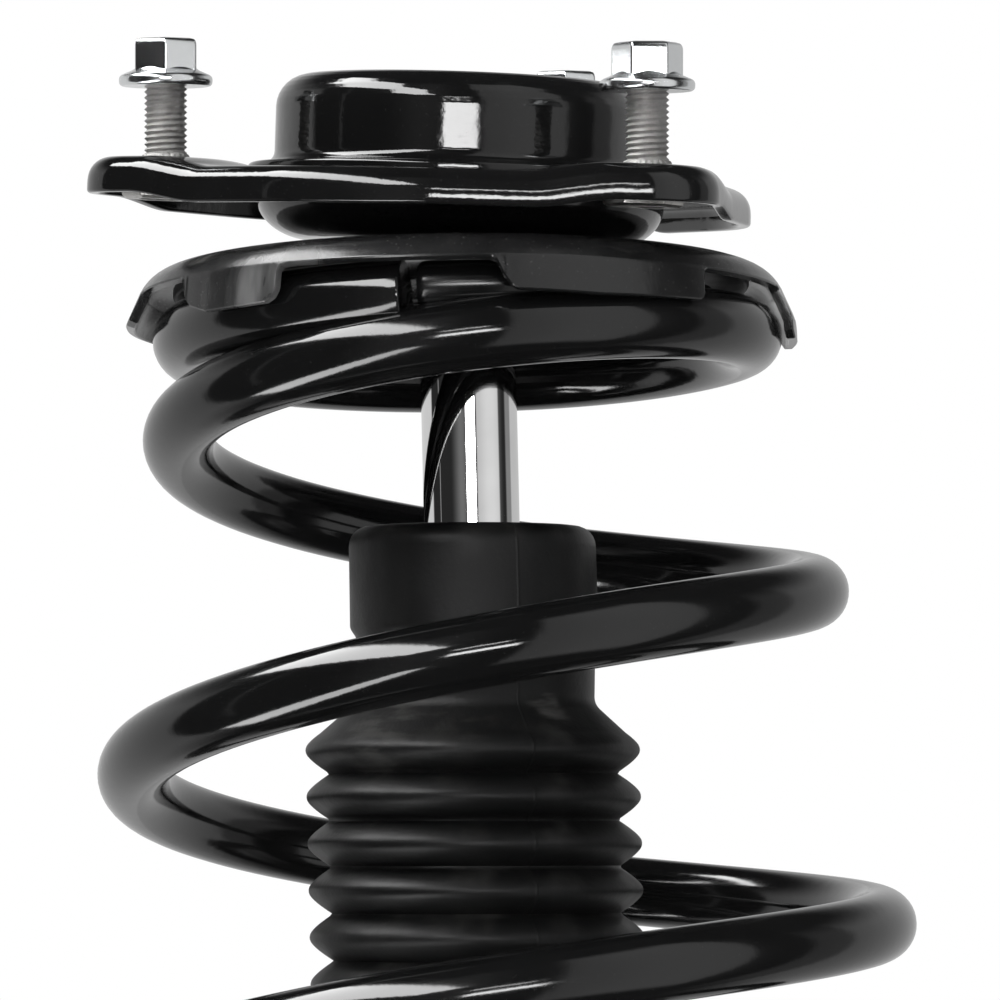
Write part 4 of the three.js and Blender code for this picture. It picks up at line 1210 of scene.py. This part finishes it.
def build_link_tab():
    """The anti-roll bar link's tab, at the side."""
    foot, tip, half, thick = TAB_FOOT, -50, 13, 5
    end = arc(half, math.pi / 2, 1.5 * math.pi, 24, tip)
    outline = [(-foot, half + 6)] + end + [(-foot, -half - 6)]
    stand = shift(0, 0, LINK_TAB_HEIGHT) @ turn(math.pi / 2, "X")
    tab = moved(extruded(outline, -thick / 2, thick / 2, bevel=0.5), stand)
    hole = moved(bore(6.2, -thick, thick, 40, tip), stand)
    painted("link_tab", tab, ["link_bracket"], sharp=30, cuts=[hole])


def build_hose_tab():
    """The brake hose's folded tab, in front."""
    foot, half, thick, reach = TAB_FOOT, HOSE_TAB_HALF, 2.5, 34
    fold = rounded([
        (foot, -22, 0.3), (foot + thick, -22, 0.3), (foot + thick, -thick, 1.2),
        (foot + reach, -thick, 0.3), (foot + reach, 0, 0.3), (foot, 0, 3.0),
    ], steps=4)
    stand = shift(0, 0, HOSE_TAB_HEIGHT) @ turn(-math.pi / 2, "Z") @ turn(math.pi / 2, "X")
    hole = moved(bore(5.2, -10, 10), shift(0, -foot - 21, HOSE_TAB_HEIGHT))
    tab = moved(extruded(fold, -half, half, bevel=0.3), stand)
    painted("hose_tab", tab, ["brake_hose_bracket"], sharp=30, cuts=[hole])


def build_tab_welds():
    foot, half = TAB_FOOT, HOSE_TAB_HALF
    beads = []
    for side in (-1, 1):
        path = straight_path(-foot - 0.3, side * 2.9, LINK_TAB_HEIGHT - 17, LINK_TAB_HEIGHT + 17, 40)
        beads.append(weld_bead(path, 1.3, up=(0, 1, 0)))
        path = straight_path(side * (half - 0.2), -24.2, HOSE_TAB_HEIGHT - 21, HOSE_TAB_HEIGHT - 2, 30)
        beads.append(weld_bead(path, 1.8, up=(1, 0, 0)))
    painted("weld_tabs", together(*beads), sharp=60)


FLOOR_DROP = 0.0006
FLOOR_RADIUS, FLOOR_DEPTH = 15000, 5


def build_floor():
    low = cad_box[0].z - FLOOR_DROP
    slab = [(0, 0), (FLOOR_RADIUS, 0), (FLOOR_RADIUS, -FLOOR_DEPTH), (0, -FLOOR_DEPTH)]
    s = Shader("studio_floor")
    mottle = s.noise(6, 4)
    s.set(Base_Color=s.blend(mottle, rgb(0.90), rgb(0.93)), Roughness=0.85)
    floor = make("studio_floor", lathe(slab, 96, closed=False), s.material, None,
                 place=shift(0, 0, low / MM))
    floor.visible_glossy = False


# ---------------- studio


class Sky(Wiring):
    """The studio round the object, as a world that glossy rays see."""

    def __init__(self):
        self.world = bpy.data.worlds.new("studio")
        super().__init__(self.world)
        direction = self.node("TexCoord").outputs["Generated"]
        parts = self.node("SeparateXYZ", {0: direction})
        self.x, self.y, self.z = x, y, z = parts.outputs
        back = self.times(y, -1.0)
        self.azimuth = self.times(self.maths("ARCTAN2", x, back), 180 / math.pi)
        self.height = self.times(self.maths("ARCSINE", z), 180 / math.pi)
        self.light = 0.0

    def window(self, value, low, high, soft):
        rise = self.spread(value, low - soft / 2, low + soft / 2)
        fall = self.spread(value, high + soft / 2, high - soft / 2)
        return self.times(rise, fall)

    def add(self, strength, azimuth, height, soft=(2, 2)):
        """A soft box between two azimuths (0 at the front, towards +X) and two heights, in degrees."""
        across = self.window(self.azimuth, *azimuth, soft[0])
        up = self.window(self.height, *height, soft[1])
        glow = self.times(self.times(across, up), strength)
        self.light = self.plus(glow, self.light)

    def add_panel(self, strength, side, across, along, soft=0.04):
        """A level softbox above (side 1) or below (-1), by its extent in X and Y at a height of 1."""
        height = self.maths("MAXIMUM", self.times(self.z, side), 0.001)
        px = self.window(self.maths("DIVIDE", self.x, height), *across, soft)
        py = self.window(self.maths("DIVIDE", self.y, height), *along, soft)
        glow = self.times(self.times(px, py), strength)
        self.light = self.plus(glow, self.light)

    def finish(self):
        path = self.node("LightPath")
        glossy = self.node("Background", {"Color": (1, 1, 1, 1), "Strength": self.light})
        room = self.node("Background", {"Color": (1, 1, 1, 1), "Strength": ROOM_LIGHT})
        backdrop = self.node("Background", {"Color": (1, 1, 1, 1), "Strength": 1.0})
        first = self.node("MixShader", {
            0: path.outputs["Is Glossy Ray"], 1: room.outputs[0], 2: glossy.outputs[0],
        })
        last = self.node("MixShader", {
            0: path.outputs["Is Camera Ray"], 1: first.outputs[0], 2: backdrop.outputs[0],
        })
        output = self.node("OutputWorld")
        self.tree.links.new(last.outputs[0], output.inputs[0])
        self.world.cycles.sampling_method = "NONE"
        bpy.context.scene.world = self.world


ROOM_LIGHT = 1.15


def build_studio():
    sky = Sky()
    # the white cove behind the object; its azimuth wraps, so it comes in two halves
    sky.add(0.58, (113, 220), (-52, 30), (6, 24))
    sky.add(0.70, (-220, -103), (-52, 30), (5, 24))
    sky.add(0.24, (95, 113), (-52, 30), (6, 24))
    # ambient of the room
    sky.add(0.025, (-400, 400), (-100, 100))
    # at the left of the camera the room is dark, and grows lighter towards the lens
    sky.add(0.20, (-32, -11), (-30, 60), (34, 12))
    sky.add(0.30, (-79.5, -77.5), (-30, 40), (1, 12))
    # small bright box at the camera, and the strip above it
    sky.add(20.0, (-9, 12), (-2, 4), (1.5, 1.0))
    sky.add(14.0, (-9, 8), (12.5, 14.5), (1.5, 0.8))
    # large softboxes, upper left and lower left
    sky.add_panel(13.0, 1, (-1.0, -0.48), (-2.0, 0.45), 0.05)
    sky.add_panel(9.5, -1, (-0.85, -0.53), (-2.3, 0.1), 0.05)
    # pale wall at the right of the camera, ending in a dark gap before the cove
    sky.add(0.62, (16, 73), (-50, 66), (5, 12))
    sky.add(0.20, (30, 71), (-50, 66), (34, 12))
    sky.finish()
    bpy.context.scene.view_settings.view_transform = "Standard"


CAMERA_PLACE = (0, -1.700, -0.1562)
CAMERA_LENS = 266.832
CAMERA_YAW = math.radians(-0.2226)
CAMERA_PITCH = math.radians(2.6989)
CAMERA_ROLL = math.radians(-1.35)


def build_camera():
    camera = bpy.data.cameras.new("camera")
    holder = bpy.data.objects.new("camera", camera)
    bpy.context.scene.collection.objects.link(holder)
    camera.sensor_width = 36
    camera.lens = CAMERA_LENS
    camera.clip_start, camera.clip_end = 0.05, 100
    look = turn(CAMERA_YAW, "Z") @ turn(math.pi / 2 + CAMERA_PITCH, "X") @ turn(CAMERA_ROLL, "Z")
    holder.matrix_world = shift(*CAMERA_PLACE) @ look
    bpy.context.scene.camera = holder


def finish_hidden_nodes():
    """Procedural finishes for the CAD nodes that stay as they are."""
    finishes = {
        "bearing_outer_race": BEARING, "bearing_ball_cage": BEARING, "bearing_inner_race": BEARING,
        "bearing_spacer": BARE_STEEL, "bump_stop": FOAM, "rod_seal": RUBBER, "rod_guide": BARE_STEEL,
        "rebound_stop": PLASTIC, "piston": BARE_STEEL, "piston_band": PLASTIC, "piston_nut": ZINC,
        "pressure_tube": BARE_STEEL, "base_valve": BARE_STEEL,
    }
    for name, material in finishes.items():
        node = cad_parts[name]
        if not node.material_slots:
            node.data.materials.append(material)
        for slot in node.material_slots:
            slot.material = material


build_camera()
build_studio()
build_floor()
build_mount()
build_rod()
build_seat()
build_isolator()
build_isolator_stop()
build_coil()
build_boot()
build_damper()
build_lower_seat()
build_clevis()
build_link_tab()
build_hose_tab()
build_tab_welds()
finish_hidden_nodes()
